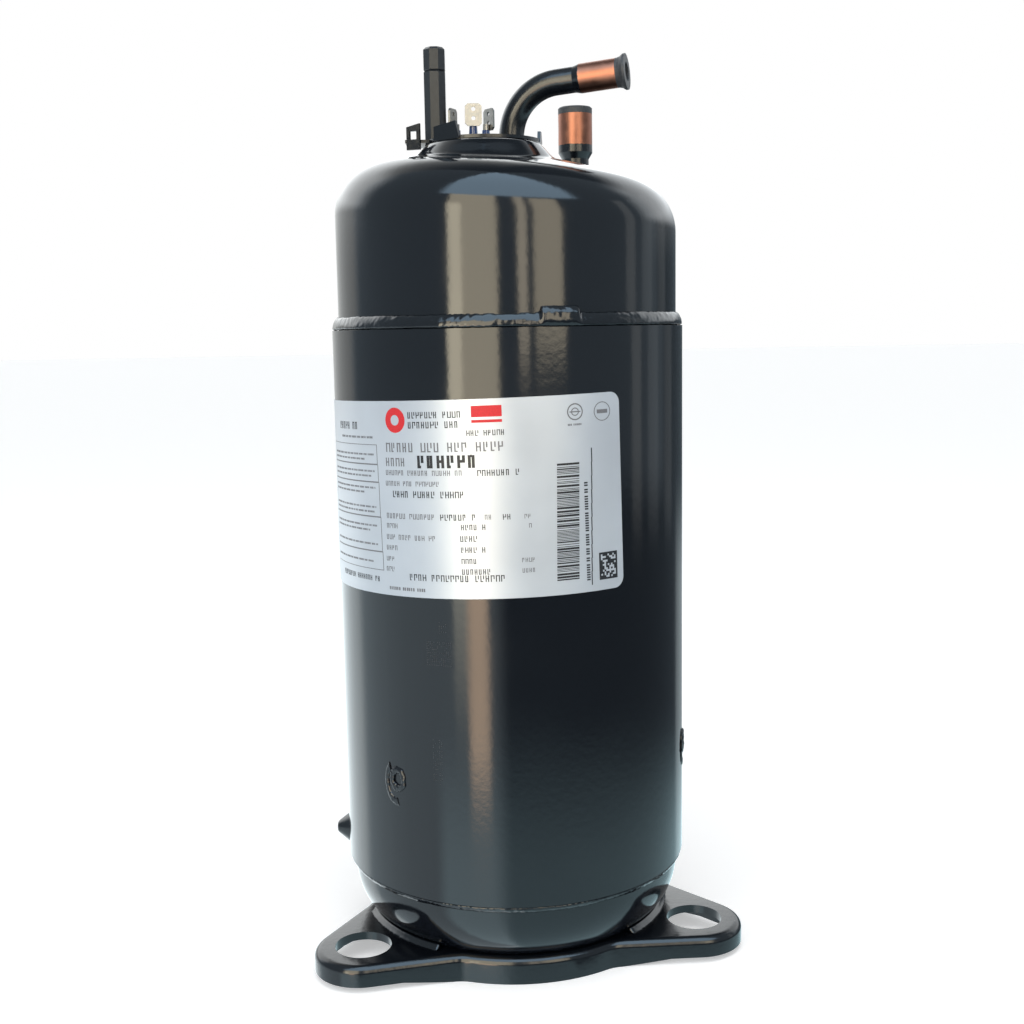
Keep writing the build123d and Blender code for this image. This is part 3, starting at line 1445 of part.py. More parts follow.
def balance_weight(low_z, height, middle_azimuth, label):
    """Part-ring weight riveted to one end of the rotor, centred on an azimuth."""
    with BuildPart() as weight:
        with BuildSketch(profile_plane(middle_azimuth - balance_arc / 2)):
            with Locations((balance_inner, low_z)):
                Rectangle(balance_outer - balance_inner, height, align=(Align.MIN, Align.MIN))
        revolve(axis=Axis.Z, revolution_arc=balance_arc)
        with BuildSketch(Plane.XY.offset(low_z)):
            with PolarLocations(rotor_rivet_circle, rotor_rivet_count, start_angle=rotor_rivet_start):
                Circle(rotor_rivet_radius)
        extrude(amount=height, mode=Mode.SUBTRACT)
    weight.part.label = label
    return weight


upper_weight_z = stator_top_z + end_ring_height
lower_weight_z = stator_base_z - end_ring_height - lower_balance_height
upper_balance_weight = balance_weight(
    upper_weight_z, upper_balance_height, eccentric_azimuth, "upper_balance_weight"
)
export_step(upper_balance_weight.part, "parts/upper_balance_weight.step")

lower_balance_weight = balance_weight(
    lower_weight_z, lower_balance_height, eccentric_azimuth + 180, "lower_balance_weight"
)
export_step(lower_balance_weight.part, "parts/lower_balance_weight.step")

# Long rivets clamp the two rings, the core and the weights; those beyond a weight end on the ring.
with BuildPart() as rotor_rivets:
    for index in range(rotor_rivet_count):
        angle = radians(rotor_rivet_start + 360 / rotor_rivet_count * index)
        spot = (rotor_rivet_circle * cos(angle), rotor_rivet_circle * sin(angle))
        facing = cos(angle - radians(eccentric_azimuth - 90))
        high_z = upper_weight_z + (upper_balance_height if facing > 0.5 else 0)
        low_z = stator_base_z - end_ring_height - (lower_balance_height if facing < -0.5 else 0)
        with BuildSketch(Plane.XY.offset(low_z)):
            with Locations(spot):
                Circle(rotor_rivet_radius)
        extrude(amount=high_z - low_z)
        with BuildSketch(Plane.XY.offset(high_z)):
            with Locations(spot):
                Circle(rotor_rivet_head)
        extrude(amount=rotor_rivet_head_height)
        with BuildSketch(Plane.XY.offset(low_z)):
            with Locations(spot):
                Circle(rotor_rivet_head)
        extrude(amount=-rotor_rivet_head_height)
rotor_rivets.part.label = "rotor_rivets"
export_step(rotor_rivets.part, "parts/rotor_rivets.step")

with BuildPart() as oil_separator:
    with BuildSketch(Plane.XY.offset(shaft_top_z - separator_below_end)):
        Circle(separator_radius)
        Circle(shaft_radius, mode=Mode.SUBTRACT)
    extrude(amount=separator_thickness)
oil_separator.part.label = "oil_separator"
export_step(oil_separator.part, "parts/oil_separator.step")

# Paddle strip pressed into the foot of the shaft, which flings oil up the bore.
with BuildPart() as oil_paddle:
    with BuildSketch(Plane.XY.offset(shaft_foot_z)):
        Rectangle(2 * oil_bore_radius, paddle_thickness)
        Circle(oil_bore_radius, mode=Mode.INTERSECT)
    extrude(amount=paddle_length)
oil_paddle.part.label = "oil_paddle"
export_step(oil_paddle.part, "parts/oil_paddle.step")

# =====================================================================================
# Inner wiring
# =====================================================================================

cluster_top_z = terminal_low_z - cluster_gap
cluster_low_z = cluster_top_z - cluster_height
with BuildPart() as cluster_block:
    with BuildSketch(Plane.XY.offset(cluster_low_z)):
        with Locations((terminal_x, terminal_y)):
            Circle(cluster_width / 2)
    extrude(amount=cluster_height)
    fillet(cluster_block.edges().group_by(Axis.Z)[0], cluster_fillet)
    with BuildSketch(Plane.XY.offset(glass_inner_z - pin_inner_length)):
        with Locations(*pin_spots):
            Circle(pin_radius)
    extrude(amount=cluster_height, mode=Mode.SUBTRACT)
cluster_block.part.label = "cluster_block"
export_step(cluster_block.part, "parts/cluster_block.step")

upper_winding_top_z = stator_top_z + upper_winding_height
lead_turn_z = (cluster_low_z + upper_winding_top_z) / 2
with BuildPart() as motor_leads:
    for (spot_x, spot_y), azimuth in zip(pin_spots, pin_azimuths):
        foot_x, foot_y = at_azimuth(lead_circle, azimuth)
        with BuildLine() as lead_path:
            FilletPolyline(
                (spot_x, spot_y, cluster_low_z),
                (spot_x, spot_y, lead_turn_z + lead_slope),
                (foot_x, foot_y, lead_turn_z - lead_slope),
                (foot_x, foot_y, upper_winding_top_z),
                radius=lead_bend,
            )
        with BuildSketch(Plane.XY.offset(cluster_low_z)):
            with Locations((spot_x, spot_y)):
                Circle(lead_radius)
        sweep(path=lead_path.line)
motor_leads.part.label = "motor_leads"
export_step(motor_leads.part, "parts/motor_leads.step")

# Overload protector tied down on the coil ends.
with BuildPart() as thermal_protector:
    with BuildSketch(Plane.XY.offset(upper_winding_top_z)):
        with Locations(at_azimuth(lead_circle, protector_azimuth)):
            Circle(protector_radius)
    extrude(amount=protector_height)
    fillet(thermal_protector.edges().group_by(Axis.Z)[-1], protector_fillet)
thermal_protector.part.label = "thermal_protector"
export_step(thermal_protector.part, "parts/thermal_protector.step")
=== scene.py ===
"""Looks of the hermetic rotary compressor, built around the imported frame. Lengths here are metres."""

import json
import math
import random

import bpy
from bpy.props import FloatProperty, FloatVectorProperty, IntProperty, PointerProperty
from bpy.types import Operator, Panel, PropertyGroup
from mathutils import Matrix, Vector


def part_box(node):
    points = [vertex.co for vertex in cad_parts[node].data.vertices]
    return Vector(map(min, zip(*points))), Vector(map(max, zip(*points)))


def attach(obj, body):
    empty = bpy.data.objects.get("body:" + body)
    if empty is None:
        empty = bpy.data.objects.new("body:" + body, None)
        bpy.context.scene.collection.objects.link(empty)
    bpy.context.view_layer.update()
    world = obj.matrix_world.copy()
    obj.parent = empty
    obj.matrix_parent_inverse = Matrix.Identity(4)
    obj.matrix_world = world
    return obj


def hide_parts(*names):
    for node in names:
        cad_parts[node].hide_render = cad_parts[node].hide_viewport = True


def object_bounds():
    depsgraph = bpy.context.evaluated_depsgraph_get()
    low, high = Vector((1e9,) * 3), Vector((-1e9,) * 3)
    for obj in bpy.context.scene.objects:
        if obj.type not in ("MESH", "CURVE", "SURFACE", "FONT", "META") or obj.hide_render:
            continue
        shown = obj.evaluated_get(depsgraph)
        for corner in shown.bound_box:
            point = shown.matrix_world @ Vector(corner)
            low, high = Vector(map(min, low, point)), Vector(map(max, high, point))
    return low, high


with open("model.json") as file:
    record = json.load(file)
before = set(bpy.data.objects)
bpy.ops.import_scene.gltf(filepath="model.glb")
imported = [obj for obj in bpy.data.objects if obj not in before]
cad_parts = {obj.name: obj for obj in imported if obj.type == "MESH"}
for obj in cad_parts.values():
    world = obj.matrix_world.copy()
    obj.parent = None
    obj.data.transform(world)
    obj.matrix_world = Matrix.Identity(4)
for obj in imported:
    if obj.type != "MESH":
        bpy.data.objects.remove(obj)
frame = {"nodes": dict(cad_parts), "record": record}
CAD_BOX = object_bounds()
NODES = frame["nodes"]
RECORD = frame["record"]
MOUNTS = {mount["name"]: mount for mount in RECORD["mounts"]}
MM = 0.001

bl_info = {
    "name": "Rotary Compressor Looks",
    "version": (1, 0, 0),
    "blender": (4, 5, 0),
    "location": "View3D > Sidebar > Compressor",
    "description": "Builds the painted, printed and welded surfaces of a hermetic rotary compressor",
    "category": "Object",
}

# ---- places worked out from the frame ----
SHELL_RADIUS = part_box("main_shell")[1].x
LABEL_LOW, LABEL_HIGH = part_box("nameplate")
LABEL_RADIUS = -LABEL_LOW.y
LABEL_MIDDLE_Z = (LABEL_LOW.z + LABEL_HIGH.z) / 2
LABEL_HEIGHT = LABEL_HIGH.z - LABEL_LOW.z
LABEL_RIGHT_AZIMUTH = math.radians(35.5)
LABEL_LEFT_AZIMUTH = math.radians(-118)
LABEL_THICKNESS = 0.12 * MM
LABEL_FOLDS = 64
INK_LIFT = 0.03 * MM
INLET_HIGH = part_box("accumulator_inlet")[1]
MOUTH = Vector(MOUNTS["discharge_socket"]["pos_m"])
MOUTH_AXIS = Vector(MOUNTS["discharge_socket"]["axis"])
PLUG_WELD_AZIMUTHS = (-39.5, 80.5, 200.5)
PLUG_WELD_Z = (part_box("plug_welds")[0].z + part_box("plug_welds")[1].z) / 2
FLOOR_Z = CAD_BOX[0].z

# ---- peened marks below the label ----
# Each: first azimuth (degrees) and height (mm), their pitches, columns and rows, share of places struck,
# whether its left column and bottom row are full, and every how many rows one is left out (0 for none).
MARKS = (
    (-26.7, 127.4, 0.6, 0.66, 14, 14, 0.5, True, 0),
    (-22.4, 135.0, 0.7, 0.7, 4, 7, 0.6, False, 0),
    (-25.4, 91.0, 0.7, 0.7, 5, 26, 0.55, False, 6),
)
DOT_DEPTH = 0.5 * MM

# ---- stage ----
FLOOR_SIZE = 30
CAMERA_PLACE = Vector((0.63 * MM, -534.5 * MM, 240 * MM))
CAMERA_TILT = math.radians(90 - 7.85)
CAMERA_ROLL = -0.017
CAMERA_LENS = 46.25
LIT_POINT = Vector((0, 0, 180 * MM))


class CompressorColours(PropertyGroup):
    """Colours of the finishes."""

    enamel: FloatVectorProperty(
        name="Enamel", description="Black stove enamel on the shell", subtype="COLOR", size=4,
        default=(0.0045, 0.0058, 0.0085, 1.0), min=0.0, max=1.0,
    )
    copper: FloatVectorProperty(
        name="Copper", description="Bare drawn copper, dulled by handling", subtype="COLOR", size=4,
        default=(0.34, 0.145, 0.095, 1.0), min=0.0, max=1.0,
    )
    rubber: FloatVectorProperty(
        name="Plug rubber", description="Moulded shipping plugs", subtype="COLOR", size=4,
        default=(0.040, 0.042, 0.046, 1.0), min=0.0, max=1.0,
    )
    label: FloatVectorProperty(
        name="Label film", description="Silver rating label", subtype="COLOR", size=4,
        default=(0.56, 0.59, 0.63, 1.0), min=0.0, max=1.0,
    )
    grey_ink: FloatVectorProperty(
        name="Grey ink", description="Fixed print of the label", subtype="COLOR", size=4,
        default=(0.16, 0.16, 0.17, 1.0), min=0.0, max=1.0,
    )
    black_ink: FloatVectorProperty(
        name="Black ink", description="Rated values on the label", subtype="COLOR", size=4,
        default=(0.012, 0.012, 0.015, 1.0), min=0.0, max=1.0,
    )
    red_ink: FloatVectorProperty(
        name="Red ink", description="Plain shapes beside the label's heading", subtype="COLOR", size=4,
        default=(0.62, 0.015, 0.02, 1.0), min=0.0, max=1.0,
    )


class CompressorSizes(PropertyGroup):
    """Sizes of the visible details."""

    label_tilt: FloatProperty(
        name="Label tilt", description="How far the label is stuck out of level", subtype="ANGLE",
        unit="ROTATION", default=math.radians(1.5),
    )
    label_corner: FloatProperty(
        name="Label corner", description="Corner radius of the label", unit="LENGTH",
        default=4 * MM, min=0.0,
    )
    bead_grain: FloatProperty(
        name="Weld grain", description="Voxel size of the reworked weld beads", unit="LENGTH",
        default=0.55 * MM, min=0.0003,
    )
    bead_ripple: FloatProperty(
        name="Weld ripple", description="Height of the ripples on the welds", unit="LENGTH",
        default=0.5 * MM, min=0.0,
    )
    bead_stretch: FloatProperty(
        name="Upper weld height",
        description="How far the upper weld runs up the cap, against its plain bead",
        default=1.7, min=1.0, max=2.0,
    )
    mark_dot: FloatProperty(
        name="Mark dot", description="Radius of one dot of the peened square mark", unit="LENGTH",
        default=0.30 * MM, min=0.0001,
    )
    paint_edge: FloatProperty(
        name="Bare copper", description="Length of bare copper behind each tube mouth", unit="LENGTH",
        default=14.1 * MM, min=0.0,
    )
    print_seed: IntProperty(
        name="Print seed", description="Seeds the generic print and the peened marks", default=7, min=0,
    )


# ---- materials ----


def new_material(name):
    """A node material and its parts."""
    material = bpy.data.materials.new(name)
    material.use_nodes = True
    nodes = material.node_tree.nodes
    return material, nodes, material.node_tree.links, nodes["Principled BSDF"]


def object_noise(nodes, links, scale, detail=2.0, stretch=(1, 1, 1)):
    """Noise fixed to the piece."""
    coords = nodes.new("ShaderNodeTexCoord")
    mapping = nodes.new("ShaderNodeMapping")
    mapping.inputs["Scale"].default_value = stretch
    noise = nodes.new("ShaderNodeTexNoise")
    noise.inputs["Scale"].default_value = scale
    noise.inputs["Detail"].default_value = detail
    links.new(coords.outputs["Object"], mapping.inputs["Vector"])
    links.new(mapping.outputs["Vector"], noise.inputs["Vector"])
    return noise


def add_bump(nodes, links, shader, height, strength, distance):
    """Relief on a shader from a height."""
    bump = nodes.new("ShaderNodeBump")
    bump.inputs["Strength"].default_value = strength
    bump.inputs["Distance"].default_value = distance
    links.new(height, bump.inputs["Height"])
    links.new(bump.outputs["Normal"], shader.inputs["Normal"])


def vary(nodes, links, source, low, high, target):
    """Spreads a noise between two values into a socket."""
    spread = nodes.new("ShaderNodeMapRange")
    spread.inputs["From Min"].default_value = 0.3
    spread.inputs["From Max"].default_value = 0.7
    spread.inputs["To Min"].default_value = low
    spread.inputs["To Max"].default_value = high
    links.new(source, spread.inputs["Value"])
    links.new(spread.outputs["Result"], target)


def enamel_shader(nodes, links, shader, colour, roughness, peel):
    """Sprayed black enamel: orange peel, slow waves in the film and a clear gloss."""
    shader.inputs["Base Color"].default_value = colour
    shader.inputs["IOR"].default_value = 1.52
    peel_noise = object_noise(nodes, links, 420, 2)
    wave_noise = object_noise(nodes, links, 34, 1)
    mix = nodes.new("ShaderNodeMath")
    mix.operation = "MULTIPLY_ADD"
    mix.inputs[1].default_value = 2.6
    links.new(wave_noise.outputs["Fac"], mix.inputs[0])
    links.new(peel_noise.outputs["Fac"], mix.inputs[2])
    add_bump(nodes, links, shader, mix.outputs[0], peel, 0.5 * MM)
    vary(nodes, links, wave_noise.outputs["Fac"], roughness * 0.8, roughness * 1.25,
         shader.inputs["Roughness"])


def make_enamel(name, colour, roughness=0.13, peel=0.10):
    """Black enamel finish."""
    material, nodes, links, shader = new_material(name)
    enamel_shader(nodes, links, shader, colour, roughness, peel)
    return material


def make_metal(name, colour, roughness, scale=300, bump=0.05, stretch=(1, 1, 1), spread=0.25):
    """Bare metal with uneven polish; the stretch draws its grain out along one axis."""
    material, nodes, links, shader = new_material(name)
    shader.inputs["Base Color"].default_value = colour
    shader.inputs["Metallic"].default_value = 1.0
    noise = object_noise(nodes, links, scale, 3, stretch)
    vary(nodes, links, noise.outputs["Fac"], roughness * (1 - spread), roughness * (1 + spread),
         shader.inputs["Roughness"])
    add_bump(nodes, links, shader, noise.outputs["Fac"], bump, 0.2 * MM)
    return material


def mottle(nodes, links, shader, colour, scale, low=0.8, high=1.15):
    """Lets the base colour drift between a darker and a lighter tone."""
    noise = object_noise(nodes, links, scale, 3)
    ramp = nodes.new("ShaderNodeValToRGB")
    ramp.color_ramp.elements[0].position = 0.3
    ramp.color_ramp.elements[1].position = 0.7
    ramp.color_ramp.elements[0].color = [c * low for c in colour[:3]] + [1.0]
    ramp.color_ramp.elements[1].color = [min(1.0, c * high) for c in colour[:3]] + [1.0]
    links.new(noise.outputs["Fac"], ramp.inputs["Fac"])
    links.new(ramp.outputs["Color"], shader.inputs["Base Color"])
    return noise


def make_dull(name, colour, roughness=0.6, scale=500, bump=0.12):
    """Rubber, moulding and braid: mottled and matt."""
    material, nodes, links, shader = new_material(name)
    noise = mottle(nodes, links, shader, colour, scale)
    shader.inputs["Roughness"].default_value = roughness
    add_bump(nodes, links, shader, noise.outputs["Fac"], bump, 0.3 * MM)
    return material


def make_part_painted_copper(name, copper, colour, edge_point, direction):
    """Copper tube, bare beyond a ragged line across the direction and painted before it."""
    material, nodes, links, shader = new_material(name)
    shader.inputs["Metallic"].default_value = 1.0
    grain = mottle(nodes, links, shader, copper, 160, 0.72, 1.12)
    vary(nodes, links, grain.outputs["Fac"], 0.30, 0.46, shader.inputs["Roughness"])
    add_bump(nodes, links, shader, grain.outputs["Fac"], 0.10, 0.2 * MM)
    paint = nodes.new("ShaderNodeBsdfPrincipled")
    enamel_shader(nodes, links, paint, colour, 0.22, 0.10)
    coords = nodes.new("ShaderNodeTexCoord")
    along = nodes.new("ShaderNodeVectorMath")
    along.operation = "DOT_PRODUCT"
    along.inputs[1].default_value = direction
    links.new(coords.outputs["Object"], along.inputs[0])
    ragged = object_noise(nodes, links, 700, 2)
    wobble = nodes.new("ShaderNodeMath")
    wobble.operation = "MULTIPLY_ADD"
    wobble.inputs[1].default_value = 0.9 * MM
    links.new(ragged.outputs["Fac"], wobble.inputs[0])
    links.new(along.outputs["Value"], wobble.inputs[2])
    start = edge_point.dot(direction)
    step = nodes.new("ShaderNodeMapRange")
    step.inputs["From Min"].default_value = start
    step.inputs["From Max"].default_value = start + 0.25 * MM
    links.new(wobble.outputs[0], step.inputs["Value"])
    mix = nodes.new("ShaderNodeMixShader")
    links.new(step.outputs["Result"], mix.inputs["Fac"])
    links.new(paint.outputs["BSDF"], mix.inputs[1])
    links.new(shader.outputs["BSDF"], mix.inputs[2])
    links.new(mix.outputs["Shader"], nodes["Material Output"].inputs["Surface"])
    return material


def make_label_film(name, colour):
    """Silver film with a fine grain."""
    material, nodes, links, shader = new_material(name)
    noise = mottle(nodes, links, shader, colour, 30, 0.94, 1.05)
    shader.inputs["Metallic"].default_value = 0.4
    vary(nodes, links, noise.outputs["Fac"], 0.34, 0.42, shader.inputs["Roughness"])
    grain = object_noise(nodes, links, 2200, 2)
    add_bump(nodes, links, shader, grain.outputs["Fac"], 0.05, 0.1 * MM)
    return material


def make_ink(name, colour, roughness=0.45):
    """Thermal print, slightly uneven."""
    material, nodes, links, shader = new_material(name)
    noise = mottle(nodes, links, shader, colour, 1800, 0.9, 1.1)
    vary(nodes, links, noise.outputs["Fac"], roughness * 0.9, roughness * 1.1, shader.inputs["Roughness"])
    return material


def make_glass(name, colour):
    """Fused glass of the terminal seals."""
    material, nodes, links, shader = new_material(name)
    shader.inputs["Base Color"].default_value = colour
    shader.inputs["IOR"].default_value = 1.5
    shader.inputs["Coat Weight"].default_value = 0.6
    noise = object_noise(nodes, links, 700, 2)
    vary(nodes, links, noise.outputs["Fac"], 0.08, 0.16, shader.inputs["Roughness"])
    return material


def dress(piece, *materials):
    """Fills the piece's material slots."""
    piece.data.materials.clear()
    for material in materials:
        piece.data.materials.append(material)


# ---- modelling helpers ----


def clear_selection():
    """Back to object mode with nothing selected."""
    if bpy.context.object and bpy.context.object.mode != "OBJECT":
        bpy.ops.object.mode_set(mode="OBJECT")
    bpy.ops.object.select_all(action="DESELECT")


def pick(*pieces):
    """Selects only these pieces, the first one active."""
    clear_selection()
    for piece in pieces:
        piece.select_set(True)
    bpy.context.view_layer.objects.active = pieces[0]


def named(name):
    """Names the piece that was just added."""
    piece = bpy.context.object
    piece.name = name
    piece.data.name = name
    return piece


def settle(piece):
    """Puts the piece's place, turn and size into its mesh."""
    pick(piece)
    bpy.ops.object.transform_apply(location=True, rotation=True, scale=True)
    return piece


def smooth(piece, angle=35):
    """Shades the piece smooth up to an angle in degrees."""
    pick(piece)
    bpy.ops.object.shade_smooth_by_angle(angle=math.radians(angle))


def apply_modifier(piece, kind, **settings):
    """Adds one modifier and applies it."""
    pick(piece)
    modifier = piece.modifiers.new(kind.lower(), kind)
    for key, value in settings.items():
        setattr(modifier, key, value)
    bpy.ops.object.modifier_apply(modifier=modifier.name)


def merged_copy(node, name):
    """Copy of a CAD node with its loose triangles joined up."""
    skin = bpy.data.objects.new(name, NODES[node].data.copy())
    skin.data.name = name
    bpy.context.scene.collection.objects.link(skin)
    pick(skin)
    bpy.ops.object.mode_set(mode="EDIT")
    bpy.ops.mesh.select_all(action="SELECT")
    bpy.ops.mesh.remove_doubles(threshold=0.002 * MM)
    bpy.ops.mesh.customdata_custom_splitnormals_clear()
    bpy.ops.object.mode_set(mode="OBJECT")
    return skin


def stand_for(skin, node, material):
    """The piece takes a CAD node's place and the given material, and rides on the housing."""
    dress(skin, material)
    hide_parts(node)
    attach(skin, "housing")


def clouds(name, size, depth=2):
    """Cloud texture that swells a displaced surface."""
    texture = bpy.data.textures.new(name, "CLOUDS")
    texture.noise_scale = size
    texture.noise_depth = depth
    return texture


def turn_to_azimuth(azimuth, radius, z):
    """Place and turn of a local frame on the shell: local Z points outwards, local Y is up."""
    outward = Vector((math.sin(azimuth), -math.cos(azimuth), 0))
    sideways = Vector((math.cos(azimuth), math.sin(azimuth), 0))
    turn = Matrix((sideways, Vector((0, 0, 1)), outward)).transposed().to_4x4()
    return Matrix.Translation(outward * radius + Vector((0, 0, z))) @ turn


class COMPRESSOR_OT_finish_nodes(Operator):
    """Gives the listed carried-over nodes their finishes"""

    bl_idname = "compressor.finish_nodes"
    bl_label = "Finish the packed nodes"

    def execute(self, context):
        colours = context.scene.compressor_colours
        sizes = context.scene.compressor_sizes
        machined = make_metal("machined_iron", (0.34, 0.34, 0.33, 1), 0.38, 900, 0.10, (1, 1, 6))
        ground = make_metal("ground_steel", (0.60, 0.60, 0.59, 1), 0.20, 1400, 0.04)
        lamination = make_metal("lamination", (0.26, 0.27, 0.30, 1), 0.40, 60, 0.30, (0.2, 0.2, 40))
        winding = make_metal("winding", (0.50, 0.17, 0.07, 1), 0.30, 500, 0.9, (1, 1, 3))
        zinc = make_metal("zinc_steel", (0.55, 0.55, 0.53, 1), 0.32, 500, 0.06)
        spring = make_metal("spring_steel", (0.30, 0.31, 0.34, 1), 0.25, 900, 0.04)
        aluminium = make_metal("cast_aluminium", (0.68, 0.69, 0.70, 1), 0.45, 500, 0.25)
        brass = make_metal("pressed_brass", (0.66, 0.50, 0.24, 1), 0.30, 500, 0.06)
        tin = make_metal("tinned_blade", (0.40, 0.385, 0.36, 1), 0.42, 700, 0.25)
        header = make_metal("header_steel", (0.42, 0.41, 0.38, 1), 0.36, 700, 0.08)
        glass = make_glass("seal_glass", (0.015, 0.05, 0.17, 1))
        film = make_dull("slot_film", (0.75, 0.70, 0.55, 1), 0.5, 400, 0.05)
        nylon = make_dull("nylon", (0.78, 0.75, 0.68, 1), 0.5, 500, 0.05)
        braid = make_dull("lead_braid", (0.50, 0.05, 0.03, 1), 0.7, 1800, 0.5)
        rubber = make_dull("plug_rubber", colours.rubber, 0.55, 900, 0.10)
        moulding = make_dull("post_moulding", (0.016, 0.018, 0.021, 1), 0.32, 700, 0.04)
        black = make_enamel("enamel_small_parts", colours.enamel, 0.20, 0.12)
        tube_edge = MOUTH - MOUTH_AXIS * sizes.paint_edge
        tube = make_part_painted_copper(
            "discharge_copper", colours.copper, colours.enamel, tube_edge, MOUTH_AXIS
        )
        up = Vector((0, 0, 1))
        inlet = make_part_painted_copper(
            "inlet_copper", colours.copper, colours.enamel, INLET_HIGH - up * sizes.paint_edge, up
        )
        finishes = {
            machined: ("cylinder", "main_bearing", "sub_bearing", "crankshaft"),
            ground: ("roller", "vane"),
            lamination: ("stator_core", "rotor_core"),
            winding: ("slot_windings", "upper_end_winding", "lower_end_winding"),
            zinc: ("upper_bolts", "lower_bolts", "strap_screw", "rotor_rivets", "oil_separator",
                   "valve_rivet", "discharge_muffler"),
            spring: ("discharge_reed", "vane_spring", "oil_paddle", "valve_retainer"),
            aluminium: ("rotor_upper_ring", "rotor_lower_ring"),
            brass: ("upper_balance_weight", "lower_balance_weight", "accumulator_screen"),
            tin: ("terminal_blades", "terminal_pins"),
            header: ("terminal_body",),
            glass: ("terminal_glass_seals",),
            film: ("slot_liners",),
            nylon: ("cluster_block", "thermal_protector"),
            braid: ("motor_leads",),
            rubber: ("discharge_plug", "suction_plug"),
            moulding: ("cover_post", "post_cap"),
            tube: ("discharge_tube",),
            inlet: ("accumulator_inlet",),
            black: ("terminal_bracket", "discharge_collar", "suction_collar", "accumulator_bracket",
                    "accumulator_strap", "plug_welds"),
        }
        for material, names in finishes.items():
            for node in names:
                dress(NODES[node], material)
        return {"FINISHED"}


class COMPRESSOR_OT_painted_shell(Operator):
    """Makes the smooth enamelled skins of the shell, caps, foot plate and accumulator"""

    bl_idname = "compressor.painted_shell"
    bl_label = "Painted shell"

    def execute(self, context):
        colours = context.scene.compressor_colours
        gloss = make_enamel("enamel_gloss", colours.enamel, 0.10, 0.035)
        foot = make_enamel("enamel_foot", colours.enamel, 0.16, 0.10)
        skins = (
            ("main_shell", "shell_skin", gloss),
            ("top_cap", "top_cap_skin", gloss),
            ("bottom_cap", "bottom_cap_skin", gloss),
            ("base_plate", "foot_plate_skin", foot),
            ("equaliser_stub", "blank_stub_skin", foot),
            ("accumulator_upper_shell", "accumulator_top_skin", gloss),
            ("accumulator_lower_shell", "accumulator_base_skin", gloss),
            ("suction_pipe", "suction_pipe_skin", gloss),
        )
        for node, name, material in skins:
            skin = merged_copy(node, name)
            smooth(skin)
            stand_for(skin, node, material)
        return {"FINISHED"}


class COMPRESSOR_OT_weld_beads(Operator):
    """Reworks the two closing welds into uneven, rippled beads"""

    bl_idname = "compressor.weld_beads"
    bl_label = "Closing welds"

    def execute(self, context):
        sizes = context.scene.compressor_sizes
        paint = make_enamel("enamel_weld", context.scene.compressor_colours.enamel, 0.13, 0.08)
        swell = clouds("weld_swell", 7 * MM)
        grain = clouds("weld_grain", 1.3 * MM, 3)
        for node, swollen, rough in (
            ("upper_weld_bead", 1.0, 0.5), ("lower_weld_bead", 1.0, 1.0), ("foot_welds", 0.3, 0.15),
        ):
            bead = merged_copy(node, node + "_rippled")
            if node == "upper_weld_bead":
                bead.scale.z = sizes.bead_stretch
                bead.location.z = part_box(node)[0].z * (1 - sizes.bead_stretch)
                settle(bead)
            apply_modifier(bead, "REMESH", mode="VOXEL", voxel_size=sizes.bead_grain)
            apply_modifier(bead, "SMOOTH", factor=0.5, iterations=16)
            for texture, share in ((swell, swollen), (grain, rough)):
                strength = sizes.bead_ripple * share
                apply_modifier(bead, "DISPLACE", texture=texture, strength=strength, mid_level=0.5)
            apply_modifier(bead, "SMOOTH", factor=0.5, iterations=2)
            smooth(bead, 60)
            stand_for(bead, node, paint)
        return {"FINISHED"}


class COMPRESSOR_OT_plug_weld_lips(Operator):
    """Raises the burnt lips round the three plug welds"""

    bl_idname = "compressor.plug_weld_lips"
    bl_label = "Plug weld lips"

    def execute(self, context):
        paint = make_enamel("enamel_plug_weld", context.scene.compressor_colours.enamel, 0.16, 0.35)
        grain = clouds("lip_grain", 1.6 * MM, 3)
        for index, azimuth in enumerate(PLUG_WELD_AZIMUTHS):
            place = turn_to_azimuth(math.radians(azimuth), SHELL_RADIUS, PLUG_WELD_Z)
            clear_selection()
            bpy.ops.mesh.primitive_torus_add(
                major_radius=3.0 * MM, minor_radius=1.2 * MM, major_segments=96, minor_segments=16
            )
            lip = named(f"plug_weld_lip_{index + 1}")
            lip.scale = (1, 1.2, 0.6)
            settle(lip)
            clear_selection()
            bpy.ops.mesh.primitive_torus_add(
                major_radius=6.0 * MM, minor_radius=1.3 * MM, major_segments=96, minor_segments=12,
                location=(-0.8 * MM, -1.4 * MM, -0.1 * MM),
            )
            crescent = named("crescent")
            crescent.scale = (0.8, 1.25, 0.35)
            settle(crescent)
            bpy.ops.object.mode_set(mode="EDIT")
            bpy.ops.mesh.select_all(action="SELECT")
            bpy.ops.mesh.bisect(
                plane_co=(-2.2 * MM, -1.4 * MM, 0), plane_no=(0.96, 0.28, 0),
                use_fill=True, clear_outer=True,
            )
            bpy.ops.object.mode_set(mode="OBJECT")
            pick(lip, crescent)
            bpy.ops.object.join()
            apply_modifier(lip, "DISPLACE", texture=grain, strength=0.8 * MM, mid_level=0.5)
            lip.matrix_world = place
            settle(lip)
            smooth(lip, 60)
            dress(lip, paint)
            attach(lip, "housing")
        return {"FINISHED"}


